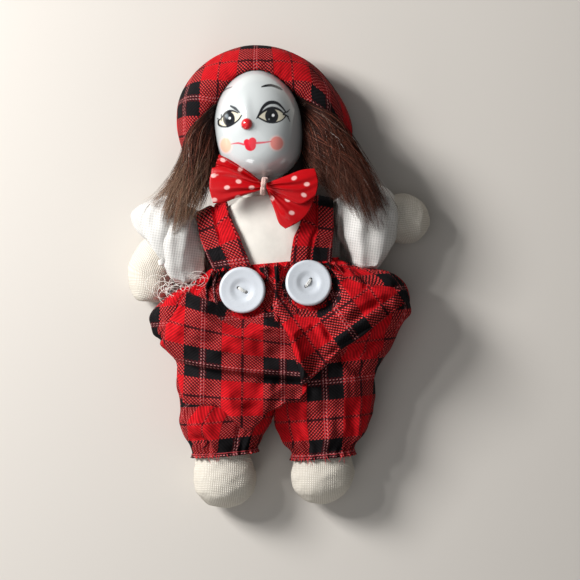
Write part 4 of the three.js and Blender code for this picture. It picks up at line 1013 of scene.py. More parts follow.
def make_strap(name, torso):
    side = SIGNS[name]
    line = through(STRAP_LINES[name], 150)
    columns = np.linspace(-1, 1, 33)
    grid = np.empty((len(line), len(columns), 3))
    for k, (degree, x, half) in enumerate(line):
        angle = math.radians(degree)
        out = np.array([0, math.cos(angle), math.sin(angle)])
        for j, column in enumerate(columns):
            at = x + column * half
            held = min(at, STRAP_REACH)
            start = TORSO_AXIS * [0, 1, 1] + [side * held, 0, 0] + out * 40
            hit = torso.ray_cast(Vector(start), Vector(-out))[0]
            sag = 0.25 * max(at - STRAP_REACH, 0)
            grid[k, j] = np.array(hit) + out * (0.5 - sag) + [side * (at - held), 0, 0]
    for _ in range(6):
        grid[1:-1] = (grid[:-2] + 2 * grid[1:-1] + grid[2:]) / 4
    normal = normals(grid)
    normal *= np.sign((normal * (grid - TORSO_AXIS)).sum(-1).mean())
    fold = np.exp(-(((columns + 0.12) / 0.08) ** 2))
    lift = 1.5 + 0.5 * np.cos(columns * np.pi / 2) ** 0.5 - 0.75 * fold + 0.22 * waves(grid, 6, 3)
    face = grid + normal * lift[..., None]
    u = PERIOD / 4 - 0.2 - columns * line[:, 2, None] + np.where(columns < -0.12, 1.2, 0)
    uv = np.stack([u, lengths(grid[:, 16])[:, None] - STRAP_ROW[name] + 0 * u], -1)
    sheet(f"plaid_strap_{name}", face, uv, STRAP_WALL, look=PLAID, body="torso", replaces=(f"strap_{name}",))


THREAD_TURN = {"right": -33.0, "left": 50.0}  # the way each button's thread runs, in degrees
BUTTON_PROFILE = [  # radius and height
    (0.02, 0.3), (1.6, 0.26), (2.4, 0.34), (3.2, 0.62), (3.9, 0.84), (5.0, 0.94), (5.9, 1.06), (6.5, 1.1),
    (6.95, 0.8), (7.12, 0.3), (7.05, -0.3), (6.7, -0.9), (5.9, -1.15), (3.0, -1.2), (0.02, -1.2),
]
HOLE_SHIFT, HOLE_RADIUS = 1.35, 0.52


def drilled(blank):
    """The mesh of a button's blank, in millimetres, with its two holes cut."""
    for k, shift in enumerate((-HOLE_SHIFT, HOLE_SHIFT)):
        drill = tube_grid([[shift, 0, height] for height in np.linspace(-4, 4, 5)], HOLE_RADIUS, 32)
        cutter = blank.modifiers.new("hole", "BOOLEAN")
        cutter.object, cutter.operation, cutter.solver = skin(f"drill_{k}", drill), "DIFFERENCE", "EXACT"
    bpy.context.view_layer.update()
    cut = bpy.data.meshes.new_from_object(blank.evaluated_get(bpy.context.evaluated_depsgraph_get()))
    for spare in (blank, *(cutter.object for cutter in blank.modifiers)):
        bpy.data.objects.remove(spare)
    return cut


def button_axes(name):
    """The middle of a button's CAD node and the ways across its thread, along it and up."""
    corners = np.array([v.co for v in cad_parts[f"button_{name}"].data.vertices]) / MM
    _, _, axes = np.linalg.svd(corners - corners.mean(0), full_matrices=False)
    up = axes[2] * np.sign(axes[2][2])
    angle = math.radians(THREAD_TURN[name])
    along = unit(np.cross(up, [math.cos(angle), math.sin(angle), 0]))
    low, high = (np.array(corner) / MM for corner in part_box(f"button_{name}"))
    return (low + high) / 2, np.cross(along, up), along, up


def make_buttons():
    """Turned buttons with a raised rim, a dished middle and two holes, sewn on with a loop."""
    for name in SIGNS:
        middle, across, along, up = button_axes(name)

        def placed(points, middle=middle, across=across, along=along, up=up):
            return points[:, :1] * across + points[:, 1:2] * along + points[:, 2:] * up + middle

        line = through(BUTTON_PROFILE, 70)
        turn = np.arange(120) / 120 * 2 * np.pi
        radius, height = line[:, 0, None], line[:, 1, None]
        grid = np.stack([radius * np.cos(turn), radius * np.sin(turn), height + 0 * turn], -1)
        cut = drilled(skin(f"button_{name}_blank", grid))
        points = placed(np.array([v.co for v in cut.vertices]) / MM)
        for vertex, point in zip(cut.vertices, points * MM):
            vertex.co = point
        button = bpy.data.objects.new(f"button_{name}_dished", cut)
        bpy.context.collection.objects.link(button)
        cut.materials.clear()
        cut.materials.append(BUTTON[0])
        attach(button, "torso")
        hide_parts(f"button_{name}")
        t = np.linspace(0, np.pi, 24)
        for k, shift in enumerate((-0.22, 0.0, 0.22)):
            rise = -0.9 + 1.5 * np.sin(t) ** 0.5
            loop = placed(np.stack([1.4 * np.cos(t), shift + 0.08 * np.sin(3 * t + k), rise], 1))
            thread = tube(f"button_{name}_thread_{k}", loop, 0.23, 8, look=SEWING_THREAD, body="torso")
            if k == 1:
                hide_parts(f"button_thread_{name}")


# Arms and legs

ARMS = {
    "right": [
        [-27.0, 33.8, 11.9, 4.2, 4.2], [-28.6, 32.4, 11.7, 5.3, 5.3], [-30.4, 30.6, 11.2, 5.8, 5.8],
        [-35, 25.6, 9.4, 6.7, 6.7], [-38, 20.4, 7.2, 7.4, 7.2], [-38.3, 15.4, 6.8, 6.7, 6.8],
        [-37.9, 12.2, 6.6, 4.6, 5], [-37.8, 10.7, 6.6, 1.6, 1.8],
    ],
    "left": [
        [27.0, 34.0, 11.9, 4.2, 4.2], [28.8, 33.4, 11.8, 5.3, 5.3], [31.6, 32.6, 11.4, 5.8, 5.8],
        [37.4, 31, 9.6, 7, 6.9], [43.2, 29.8, 7.4, 7.8, 7.4], [47.4, 28.9, 6.9, 6.6, 6.6],
        [49.6, 28.4, 6.7, 4.1, 4.4], [50.7, 28.2, 6.7, 1.4, 1.8],
    ],
}
LEGS = {
    "right": [
        [-10.2, -22.3, 10, 8.7, 1.1], [-10.2, -25, 10, 8.7, 4.1], [-12, -28.9, 9.7, 8.5, 6.9],
        [-16.4, -33.3, 9.6, 8, 7.2], [-20.2, -35.9, 9.5, 7.6, 6.8], [-20.6, -41.6, 9, 9.1, 8.1],
        [-20.6, -46.6, 8.9, 9.9, 8.8], [-20.7, -51, 8.5, 8.9, 8.3], [-20.8, -54.2, 8.2, 5.6, 5.4],
        [-20.8, -55.5, 8.2, 1.8, 1.8],
    ],
    "left": [
        [10.2, -22.3, 10, 8.7, 1.1], [10.2, -25, 10, 8.7, 4.1], [10.4, -28.9, 9.7, 8.5, 6.9],
        [10.6, -33.3, 9.6, 8, 7.2], [10.6, -39.7, 9.5, 7.7, 6.8], [10.4, -43.6, 9, 9.1, 8.1],
        [10.2, -48, 8.9, 10, 8.8], [9.8, -52.4, 8.5, 8.9, 8.3], [9.3, -55.6, 8.2, 5.6, 5.4],
        [9.2, -57, 8.2, 1.8, 1.8],
    ],
}


def make_limb(kind, name, grid, dents):
    """A stuffed knit tube, a little lumpy and flat where it lies."""
    grid = grid + unit(grid - grid.mean((0, 1))) * (0.35 * waves(grid, 9.0, dents))[..., None]
    keep_above(grid, FLOOR_GAP)
    body = f"{kind}_{name}"
    piece = skin(f"knit_{body}", grid, look=KNIT, body=body, replaces=(body, f"{kind}_stuffing_{name}"))


def make_limbs():
    for name in SIGNS:
        make_limb("arm", name, form(ARMS[name], 110, 110, square=2.0, upright=False, lowest=0.0), 31)
        make_limb("leg", name, form(LEGS[name], 130, 120, square=2.1, lowest=0.0), 37)


def make_knots():
    """The knots that hold the arms keep their shape and take the shirt's cotton."""
    for name in SIGNS:
        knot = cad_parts[f"shoulder_knot_{name}"]
        knot.data.materials.clear()
        knot.data.materials.append(COTTON[0])


# Trousers: two legs that meet under the waist, and the folds of cloth over them

TROUSERS = {
    "right": [
        [-8.0, 19.2, 13, 11.6, 10.9], [-9.0, 17.2, 13, 14.6, 11.4], [-10.6, 14.4, 13.2, 18.0, 11.7],
        [-13.2, 10.6, 13.4, 22.0, 12.3], [-14.6, 6.8, 13.8, 23.8, 13.2], [-15.0, 3.0, 14, 24.0, 13.7],
        [-14.6, -1.0, 14, 23.4, 13.6], [-13.0, -5.0, 13.6, 21.6, 13.1], [-11.7, -9.6, 13, 20.4, 12.6],
        [-12.0, -15, 12.4, 20.2, 12.1], [-13.6, -20, 11.8, 18.8, 11.7], [-16.6, -24, 11.2, 15.8, 11.1],
        [-18.2, -28, 10.6, 14.2, 10.6], [-18.8, -32, 10.1, 12.9, 10.0], [-19.2, -35.2, 9.8, 11.2, 9.3],
        [-19.6, -37.0, 9.6, 10.2, 8.7], [-19.8, -38.0, 9.5, 10.0, 8.6], [-19.8, -39.0, 9.5, 10.4, 8.9],
    ],
    "left": [
        [9.0, 18.6, 13, 12.4, 10.9], [10.2, 16.6, 13, 16.2, 11.5], [12.6, 14.6, 13.2, 20.4, 11.9],
        [15.4, 12.4, 13.4, 23.2, 12.5], [16.8, 9.0, 13.8, 24.4, 13.2], [17.5, 4.6, 14, 24.6, 13.7],
        [17.2, 0.0, 14, 24.2, 13.6], [15.8, -4.4, 13.6, 22.8, 13.1], [14.4, -8.6, 13, 21.4, 12.6],
        [12.9, -14, 12.4, 18.8, 12.1], [12.5, -19, 11.8, 16.6, 11.6], [12.4, -23.4, 11.2, 15.8, 11.1],
        [12.0, -27.4, 10.6, 15.6, 10.6], [11.8, -32.4, 10.2, 14.6, 10.2], [11.6, -36.8, 9.9, 12.4, 9.6],
        [11.1, -39.8, 9.7, 9.9, 8.7], [10.9, -41.4, 9.6, 9.7, 8.6], [10.8, -42.6, 9.5, 10.2, 8.9],
    ],
}
HEM_LEVEL = {"right": -37.8, "left": -41.2}
LEG_PLAID = {"right": (-13.4, -28.2), "left": (12.6, -30.2)}  # x of a pair of pale lines, y of a row
LEG_SEED = {"right": 5, "left": 6}
LOOSE_ENDS = {"right": 5, "left": 9}
LEG_FOLDS = {
    "right": [
        ([(-29.0, -32.6), (-27.4, -32.8), (-25.9, -34.2), (-24.0, -36.6), (-22.0, -37.9)], -1.6, 1.2),
        ([(-28.5, -28.6), (-26.0, -29.2), (-23.2, -31.6), (-20.6, -35.6)], 0.9, 1.5),
        ([(-14.0, -30.0), (-14.6, -34.0), (-16.0, -37.0)], -0.8, 1.0),
        ([(-33.0, -4.0), (-30.0, -9.0), (-26.0, -16.0)], -1.0, 1.6),
        ([(-38.0, -1.0), (-33.0, 2.5), (-29.0, 8.0), (-26.0, 13.0)], -1.6, 1.2),
        ([(-38.0, 6.0), (-33.0, 9.5), (-28.0, 14.0)], 0.7, 1.6),
        ([(-20.0, 18.0), (-22.6, 15.0), (-26.0, 11.0)], -1.3, 1.1),
        ([(-12.0, 18.0), (-14.0, 11.0), (-20.0, 8.0)], -1.0, 1.2),
    ],
    "left": [
        ([(3.0, -28.0), (3.6, -34.0), (7.0, -39.0)], -0.8, 1.2),
        ([(22.0, -26.0), (20.6, -33.0), (17.0, -39.6)], -1.0, 1.4),
        ([(14.0, -30.0), (13.4, -35.0), (12.4, -39.6)], 0.8, 1.4),
        ([(27.0, -18.0), (22.0, -14.0), (18.0, -9.0)], -1.1, 1.6),
        ([(40.0, -2.0), (31.0, -7.0), (20.0, -12.0)], -0.9, 1.5),
        ([(26.0, 17.0), (30.0, 12.0), (36.0, 8.0)], -1.4, 1.3),
        ([(22.0, 18.0), (24.0, 13.5), (27.0, 10.5)], 1.0, 1.0),
        ([(34.0, 14.0), (37.0, 10.0), (40.0, 7.0)], 0.8, 1.3),
    ],
}


CREASE_GAIN = 1.45
CREASE_POINTS = 40
LIP_LIFT = 5.0  # how far the free edge of the right fold stands off the leg
CLOTH_WALL = 0.5  # how thick the trousers' cloth is
FOLD_WALL = 0.35
NO_CLOTH = 6.0  # height at which a cloth hangs where nothing lies below it


def creases(xy, folds):
    """Heights of ridges and furrows that follow lines on the cloth and fade at their ends."""
    total = np.zeros(xy.shape[:-1])
    for line, height, width in folds:
        line = evenly(through(line, CREASE_POINTS), CREASE_POINTS)
        away = np.full(xy.shape[:-1], 1e9)
        fade = np.zeros(xy.shape[:-1])
        for k, point in enumerate(line):
            distance = np.linalg.norm(xy - point, axis=-1)
            closer = distance < away
            away = np.where(closer, distance, away)
            fade = np.where(closer, math.sin(math.pi * (k + 4) / (CREASE_POINTS + 7)) ** 0.5, fade)
        total += CREASE_GAIN * height * fade * np.exp(-((away / width) ** 2))
    return total


def hem_pleats(level, high, count, phase):
    """Pleats that deepen toward a gathered edge."""
    def shape(angle, y):
        near = 1 - smooth(0, 9, np.abs(y - level))
        frill = smooth(level + 0.4, level - 1.0, y)
        return (0.04 * near + 0.02 * frill) * np.sin(count * angle + phase + 0.8 * np.sin(3 * angle)) * high
    return shape


def lined_skin(name, grid, uv, **options):
    """A tube of cloth with its inner face."""
    whole = np.concatenate([grid, lining(grid, CLOTH_WALL)[::-5]])
    return skin(name, whole, np.concatenate([uv, uv[::-5]]), look=PLAID, **options)


def make_trousers():
    grids = {}
    for name in SIGNS:
        stations = TROUSERS[name]
        rows, angles = 230, 260
        line = through(stations, rows)
        pleats = hem_pleats(HEM_LEVEL[name], 1.0, 21, 0.4)
        gathers = hem_pleats(18.5, 0.6, 26, 1.4)

        def ripple(angle, t, y=line[:, 1, None], pleats=pleats, gathers=gathers):
            return 1 + pleats(angle, y) + gathers(angle, y)

        grid = form(stations, rows, angles, square=2.35, lowest=0.0, ripple=ripple)
        out = unit(grid - line[:, None, :3])
        front = smooth(2, 10, grid[..., 2])
        y = grid[..., 1]
        gathered = smooth(0, 4, y - HEM_LEVEL[name])
        shape = creases(grid[..., :2], LEG_FOLDS[name]) + 0.8 * waves(grid, 13.0, LEG_SEED[name])
        grid = grid + out * (shape * front * gathered)[..., None]
        keep_above(grid, FLOOR_GAP)
        top = grid[..., 2] > 14
        grid[..., 2] = np.where(top, under_buttons(grid[..., :2], grid[..., 2]), grid[..., 2])
        x0, y0 = LEG_PLAID[name]
        row = np.argmin(np.abs(y[:, angles // 4] - y0))
        column = np.argmin(np.abs(grid[row, : angles // 2, 0] - x0))
        uv = arc_uv(grid, column)
        uv[..., 1] = uv[row, 0, 1] - uv[..., 1] + PERIOD / 2
        if name == "right":
            uv[..., 0] += 0.28 * np.maximum(uv[..., 1] - PERIOD / 2, 0)
        else:
            level = np.concatenate([y, y[:, :1]], 1)
            uv[..., 1] -= 4.6 * smooth(-8, 8, level)
        grids[name] = grid
        piece = lined_skin(f"plaid_leg_{name}", grid, uv)
        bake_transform(piece)
        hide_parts(f"trouser_leg_{name}")
        hem_thread(name, grid)
    return grids


def hem_thread(name, grid):
    """The thread that gathers the hem, and its loose ends."""
    row = np.argmin(np.abs(grid[:, 0, 1] - HEM_LEVEL[name]))
    middle = grid[row].mean(0)
    ring = middle + (grid[row] - middle) * 1.004 + [0, -0.1, 0]
    ring = np.concatenate([ring[60:], ring[:64]])
    options = {"body": f"leg_{name}"}
    tube(f"hem_thread_{name}", ring, 0.17, 6, look=RED_SEWING, replaces=(f"hem_gather_{name}",), **options)
    random = np.random.default_rng(90 + len(name))
    t = np.linspace(0, 1, 12)[:, None]
    ends = []
    for _ in range(LOOSE_ENDS[name]):
        start = grid[row + 6, int(random.uniform(35, 95))] + [0, 0, 0.2]
        sway = random.uniform(-1.6, 1.6)
        drop = random.uniform(1.2, 3.4)
        ends.append(start + np.concatenate([sway * t**1.6, -drop * t, 0.5 * np.sin(np.pi * t)], 1))
    paint = np.zeros((len(ends), 12, 3)) + (0.62, 0.03, 0.04)
    strands(f"hem_ends_{name}", np.array(ends), 0.09, paint, look=LOOSE_THREAD, **options)


def make_waist():
    """Gathers round the buttons."""
    rows, cols = 70, 260
    top = [(-18.6, 18.2), (-12.0, 18.7), (-4.0, 18.4), (2.0, 18.6), (10.0, 18.6), (20.6, 17.0)]
    bottom = [(-21.0, 8.0), (-12.0, 4.4), (-2.0, 0.6), (6.0, 1.0), (14.0, 6.0), (24.0, 9.0)]
    left, right = [top[0], (-20.6, 13.4), bottom[0]], [top[-1], (22.6, 13.0), bottom[-1]]
    xy = patch(top, bottom, left, right, rows, cols)
    s, t = shares(rows, cols)
    wave = np.sin(2 * np.pi * (15 * t + 0.7 * np.sin(7 * t) + 0.25 * np.sin(4 * s + 9 * t)))
    z = 24.3 + 1.3 * np.sign(wave) * np.abs(wave) ** 0.8 * (1 - 0.4 * s)
    middle = np.exp(-(((xy[..., 0] - 0.6) / 3.2) ** 2))
    z = z + (0.9 + 0.8 * wave) * middle
    grid = raised(xy, under_buttons(xy, z + 0.35 * waves(raised(xy, z), 5.0, 61)))
    uv = np.stack([xy[..., 0] * 1.5 + 2.5, xy[..., 1] - 12.6], -1)
    grid, uv = roll_edge(grid, uv, "top", 0.5, 1.0)
    sheet("plaid_waist", grid, uv, 0.3, look=PLAID, body="torso")


def fit(controls):
    """A gentle map from places on the cloth to one plaid coordinate, from (x, y, value) rows."""
    controls = np.array(controls, float)

    def terms(xy):
        x, y = xy[..., 0], xy[..., 1]
        return np.stack([np.ones_like(x), x, y, x * y / 40], -1)

    shape = np.linalg.lstsq(terms(controls[:, :2]), controls[:, 2], rcond=1e-6)[0]
    return lambda xy: terms(xy) @ shape


def patch(top, bottom, left, right, rows, cols):
    """A grid of places between four edge lines."""
    top, bottom = (evenly(through(line, 80), cols) for line in (top, bottom))
    left, right = (evenly(through(line, 80), rows) for line in (left, right))
    s, t = (share[..., None] for share in shares(rows, cols))
    upper, lower = (1 - s) * (1 - t) * top[0] + (1 - s) * t * top[-1], s * (1 - t) * bottom[0]
    corners = upper + lower + s * t * bottom[-1]
    return (1 - s) * top + s * bottom + (1 - t) * left[:, None] + t * right[:, None] - corners


BUTTON_PLACES = np.array([[-9.4, 12.1], [11.0, 12.4]])
BUTTON_CLEAR = 24.3  # no cloth is higher than this under a button


def under_buttons(xy, z):
    """Holds cloth down below the buttons."""
    away = np.linalg.norm(xy[..., None, :] - BUTTON_PLACES, axis=-1).min(-1)
    return np.minimum(z, BUTTON_CLEAR + 0.9 * np.maximum(away - 7.6, 0))


def neighbours(z):
    """The mean of the four heights beside each one."""
    wide = np.pad(z, 1, mode="edge")
    return (wide[:-2, 1:-1] + wide[2:, 1:-1] + wide[1:-1, :-2] + wide[1:-1, 2:]) / 4


def relax(z, base, rounds):
    """Pulls a cloth taut over what lies below it."""
    for _ in range(rounds):
        z = np.maximum(base, neighbours(z))
    return z


def settle(z, base, rounds):
    """Smooths a cloth and keeps it clear of what lies below."""
    for _ in range(rounds):
        z = neighbours(z)
    return np.maximum(z, base)


def edge_last(grid, edge):
    """The grid with one of its edges as its last row."""
    if edge in ("left", "right"):
        grid = grid.swapaxes(0, 1)
    return grid[::-1] if edge in ("left", "top") else grid


def edge_back(grid, edge):
    """The grid as it was before edge_last."""
    if edge in ("left", "top"):
        grid = grid[::-1]
    return grid.swapaxes(0, 1) if edge in ("left", "right") else grid


def sink(z, base, xy, edge, radius):
    """Rounds an edge of a cloth down into what it lies on."""
    away = lengths(edge_last(xy, edge)[::-1])[::-1]
    share = edge_back(np.clip(away / radius, 0, 1), edge)
    return base - 0.6 + (z - base + 0.6) * np.sqrt(1 - (1 - share) ** 2)


def even_out(values, rounds):
    """Averages each value with its neighbours along a line."""
    for _ in range(rounds):
        wide = np.pad(values, ((1, 1), (0, 0)), mode="edge")
        values = (wide[:-2] + 2 * wide[1:-1] + wide[2:]) / 4
    return values


def roll_edge(grid, uv, edge, radius, tuck=2.0):
    """Turns an edge of a sheet round under it."""
    grid, uv = edge_last(grid, edge), edge_last(uv, edge)
    outward = unit(even_out((grid[-1] - grid[-8]) * [1, 1, 0.6], 12))
    along = unit(even_out(np.gradient(grid[-1], axis=0), 12))
    up = np.cross(outward, along)
    up = unit(up * np.sign(np.median(up[:, 2])))
    step = (uv[-1] - uv[-4]) / np.maximum(np.linalg.norm(grid[-1] - grid[-4], axis=-1)[:, None], 1e-6)
    radius = np.broadcast_to(radius, len(outward))[:, None]
    rows, places = [], []
    for angle in np.linspace(0, math.pi, 9)[1:]:
        rows.append(grid[-1] + outward * radius * math.sin(angle) - up * radius * (1 - math.cos(angle)))
        places.append(uv[-1] + step * radius * angle)
    for share in (0.35, 0.7, 1.0):
        rows.append(grid[-1] - up * 2 * radius - outward * tuck * share)
        places.append(uv[-1] + step * (radius * math.pi + tuck * share))
    return edge_back(np.concatenate([grid, rows]), edge), edge_back(np.concatenate([uv, places]), edge)


SEAT = [
    [1.0, 19.6, 13.0, 19.6, 11.2], [1.0, 17.6, 13.0, 20.8, 11.7], [1.4, 13, 13, 27.0, 12.6],
    [1.6, 8, 13.2, 33.0, 13.2], [1.8, 2, 13.4, 36.0, 13.6], [1.0, -4, 13, 32.0, 13.0],
    [0.4, -9, 12.4, 28.0, 12.4], [0, -14, 12, 25.0, 12.0], [0, -18, 11.4, 20, 11.0],
    [0, -21.4, 11.0, 16.0, 9.0], [0, -22.6, 10.6, 12.0, 6.0],
]
RIGHT_FOLD = {  # edge lines, the line of the tuck, controls for the plaid, and creases with height and width
    "top": [(-27.2, 12.8), (-22.6, 10.4), (-19.6, 8.9), (-15.1, 6.3), (-10.5, 4.3), (-5.8, 2.6), (-1.2, 1.4),
            (4.6, 0.0)],
    "right": [(4.6, 0.0), (6.6, -8.0), (7.6, -14.0), (7.6, -19.6), (5.4, -22.7)],
    "left": [(-27.2, 12.8), (-31.0, 7.2), (-34.8, 2.2), (-35.4, -1.8), (-33.8, -5.8), (-32.4, -9.4),
             (-32.2, -14.6), (-31.6, -19.0), (-31.0, -21.6)],
    "bottom": [(-31.0, -21.6), (-27.6, -22.2), (-23.6, -22.6), (-19.6, -23.4), (-17.0, -25.7),
               (-14.6, -28.0), (-11.9, -30.0), (-9.2, -29.4), (-6.4, -27.4), (-3.9, -25.2), (0.6, -23.4),
               (5.4, -22.7)],
    "tuck": [(-35.8, -4.6), (-34.0, -6.6), (-29.5, -9.0), (-24.2, -10.8), (-17.9, -12.2), (-11.8, -13.5),
             (-6.0, -14.7), (1.6, -16.2), (6.0, -17.2), (8, -17.6)],
    "u": [(-22.6, -2.0, 0), (-24.2, -10.1, 0), (-24.4, -17.3, 0), (1.4, -5.4, PERIOD), (0.6, -14.6, PERIOD),
          (0.2, -19.6, PERIOD)],
    "v": [(-34.8, 5.4, PERIOD / 2), (-23.0, 1.4, PERIOD / 2), (-16.8, -1.1, PERIOD / 2),
          (-9.0, -3.4, PERIOD / 2), (1.5, -5.0, PERIOD / 2), (-24.2, -9.6, -0.2), (0.1, -14.6, -0.2)],
    "creases": [
        ([(-24.0, 8.8), (-15.0, 3.0), (-6.0, -0.6), (2.0, -2.6)], -0.8, 0.9),
        ([(-33.0, 2.5), (-26.0, -0.5), (-17.0, -4.5), (-8.0, -6.4)], 0.6, 1.8),
        ([(-30.0, 0.0), (-22.0, -2.6), (-14.0, -4.2)], -0.5, 0.8),
        ([(-3.0, -22.5), (-1.6, -18.5), (-0.4, -14.0)], -0.8, 1.2),
        ([(-18.6, -24.6), (-14.6, -24.0), (-9.0, -24.6)], -0.9, 1.6),
        ([(-31.0, -13.0), (-26.0, -15.5), (-22.0, -19.5)], -0.6, 1.3),
    ],
}
LEFT_FLAP = {
    "top": [(6.4, 19.8), (11.0, 19.2), (17.6, 16.6), (23.2, 12.6), (28.8, 10.4), (35.7, 9.0), (40.6, 7.4)],
    "left": [(6.4, 19.8), (2.6, 17.6), (0, 13.6), (-1.1, 9.2), (-0.6, 5.5), (1.4, 1.0), (3.6, -4.0),
             (4.6, -9.9), (5.8, -14.6), (5.8, -19.0)],
    "right": [(40.6, 7.4), (41.6, 5.8), (41.2, 4.4)],
    "bottom": [(5.8, -19.0), (8.9, -17.4), (12.8, -14.5), (16.6, -11.6), (19.6, -8.8), (22.6, -7.3),
               (26.0, -5.5), (29.9, -2.9), (35.0, 0.4), (38.6, 2.6), (41.2, 4.4)],
    "creases": [
        ([(8.0, 15.0), (7.0, 8.0), (11.0, 3.4), (22.0, 5.4)], -1.3, 1.3),
        ([(12.0, 18.0), (18.0, 12.0), (28.0, 9.6)], -1.2, 1.3),
        ([(4.6, 16.0), (2.6, 9.0), (4.6, 2.0), (8.0, -6.0), (8.8, -12.0)], 1.3, 1.7),
        ([(9.6, 6.0), (10.8, 0.0), (13.0, -6.0)], -0.9, 1.1),
        ([(14.0, -10.6), (18.0, -6.4), (24.0, -2.6), (33.0, 2.0)], 1.2, 1.7),
        ([(17.0, -8.0), (15.4, -3.0), (13.6, 0.0)], -0.9, 1.0),
        ([(22.0, -1.0), (28.0, 3.0), (36.0, 5.4)], -0.9, 1.2),
    ],
}


def seat_block():
    """The plain band round the waist that the folds hang from."""
    def ripple(angle, t):
        return 1 + 0.035 * (1 - smooth(0.05, 0.35, t)) * np.sin(34 * angle + 2 * np.sin(5 * angle))

    grid = form(SEAT, 120, 240, square=2.4, lowest=0.0, ripple=ripple)
    grid[..., 2] = under_buttons(grid[..., :2], np.minimum(grid[..., 2], 25.6))
    uv = arc_uv(grid, np.argmin(np.abs(grid[60, :120, 0] + 18.5)))
    uv[..., 1] = 11.0 - uv[..., 1]
    lined_skin("plaid_seat", grid, uv, body="torso",
               replaces=("trousers_seat", "trousers_blouse", "waist_elastic"))


def line_height(line, xy):
    """How far below a line that runs across the cloth each place lies."""
    line = np.array(line)
    return np.interp(xy[..., 0], line[:, 0], line[:, 1]) - xy[..., 1]


def make_right_fold(below):
    """The deep fold over the doll's right thigh. Its lower edge is free between the legs."""
    outline = RIGHT_FOLD
    rows, cols = 200, 180
    xy = patch(outline["top"], outline["bottom"], outline["left"], outline["right"], rows, cols)
    base = heights(below, xy, NO_CLOTH)
    z = relax(base, base, 40) + 0.3
    s, t = shares(rows, cols)
    under = line_height(evenly(through(outline["tuck"], 80), 80), xy)
    crest = line_height(outline["top"], xy)
    ledge = 3.8 * (1 - smooth(-1.6, 0.5, under)) * np.exp(-np.maximum(-under, 0) / 5.0)
    z = z + 1.4 + ledge - 1.3 * np.exp(-(((under - 0.6) / 1.0) ** 2))
    z += 1.7 * np.exp(-(((crest - 2.4) / 2.2) ** 2)) * smooth(0, 0.06, s)
    free = smooth(-21.5, -15.5, xy[..., 0]) * (1 - smooth(-3.0, 5.0, xy[..., 0]))
    z += LIP_LIFT * smooth(0.6, 0.95, s) * free
    z += 0.75 * waves(raised(xy, z), 10.0, 12) * smooth(0, 0.08, s)
    z += creases(xy, outline["creases"])
    rim = 1 - smooth(0.03, 0.10, np.minimum(np.minimum(t, 1 - s), s + 0 * t))
    z = settle(np.maximum(z, base + 0.3 + 1.15 * rim), base + 0.3, 6)
    z = sink(under_buttons(xy, z), base, xy, "left", 1.3)
    lip = smooth(-21.5, -18.5, xy[..., 0])
    z = z * lip + sink(z, base, xy, "bottom", 4.0) * (1 - lip)
    uv = np.stack([fit(outline["u"])(xy), fit(outline["v"])(xy)], -1)
    uv[..., 1] -= 1.2 * smooth(-0.3, 0.3, under)
    grid, uv = roll_edge(raised(xy, z), uv, "bottom", 0.1 + 0.9 * lip[-1])
    grid, uv = roll_edge(grid, uv, "top", 1.1)
    panel = sheet("plaid_fold_right", grid, uv, FOLD_WALL, look=PLAID)
    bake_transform(panel)
    faces = quads(*grid.shape[:2], False)
    return BVHTree.FromPolygons(grid.reshape(-1, 3).tolist(), faces.tolist())


def make_flap(below, fold):
    """The folded cloth over the doll's left thigh, which covers the end of the right fold."""
    outline = LEFT_FLAP
    rows, cols = 180, 200
    xy = patch(outline["top"], outline["bottom"], outline["left"], outline["right"], rows, cols)
    base = np.maximum(heights(below, xy, NO_CLOTH), heights(fold, xy, FAR_BELOW) + 0.7)
    z = relax(base, base, 60) + 0.4
    s, t = shares(rows, cols)
    z = z + 2.2 * np.sin(np.pi * s**0.8) ** 0.8 * (0.35 + 0.65 * np.sin(np.pi * t**0.7))
    z += 0.75 * waves(raised(xy, z), 10.0, 22)
    z += creases(xy, outline["creases"])
    rim = 1 - smooth(0.03, 0.10, np.minimum(t, 1 - s))
    z = settle(np.maximum(z, base + 0.3 + 2.4 * rim), base + 0.3, 10)
    z = sink(under_buttons(xy, z), base, xy, "left", 1.8)
    z = sink(z, base, xy, "bottom", 1.6)
    uv = turned(xy - [20.2, 0.9], -math.radians(30)) + [0, 9.6]
    flap = sheet("plaid_flap", raised(xy, z), uv, FOLD_WALL, look=PLAID)
    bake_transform(flap)


# Hair: a dark mass under many loose strands

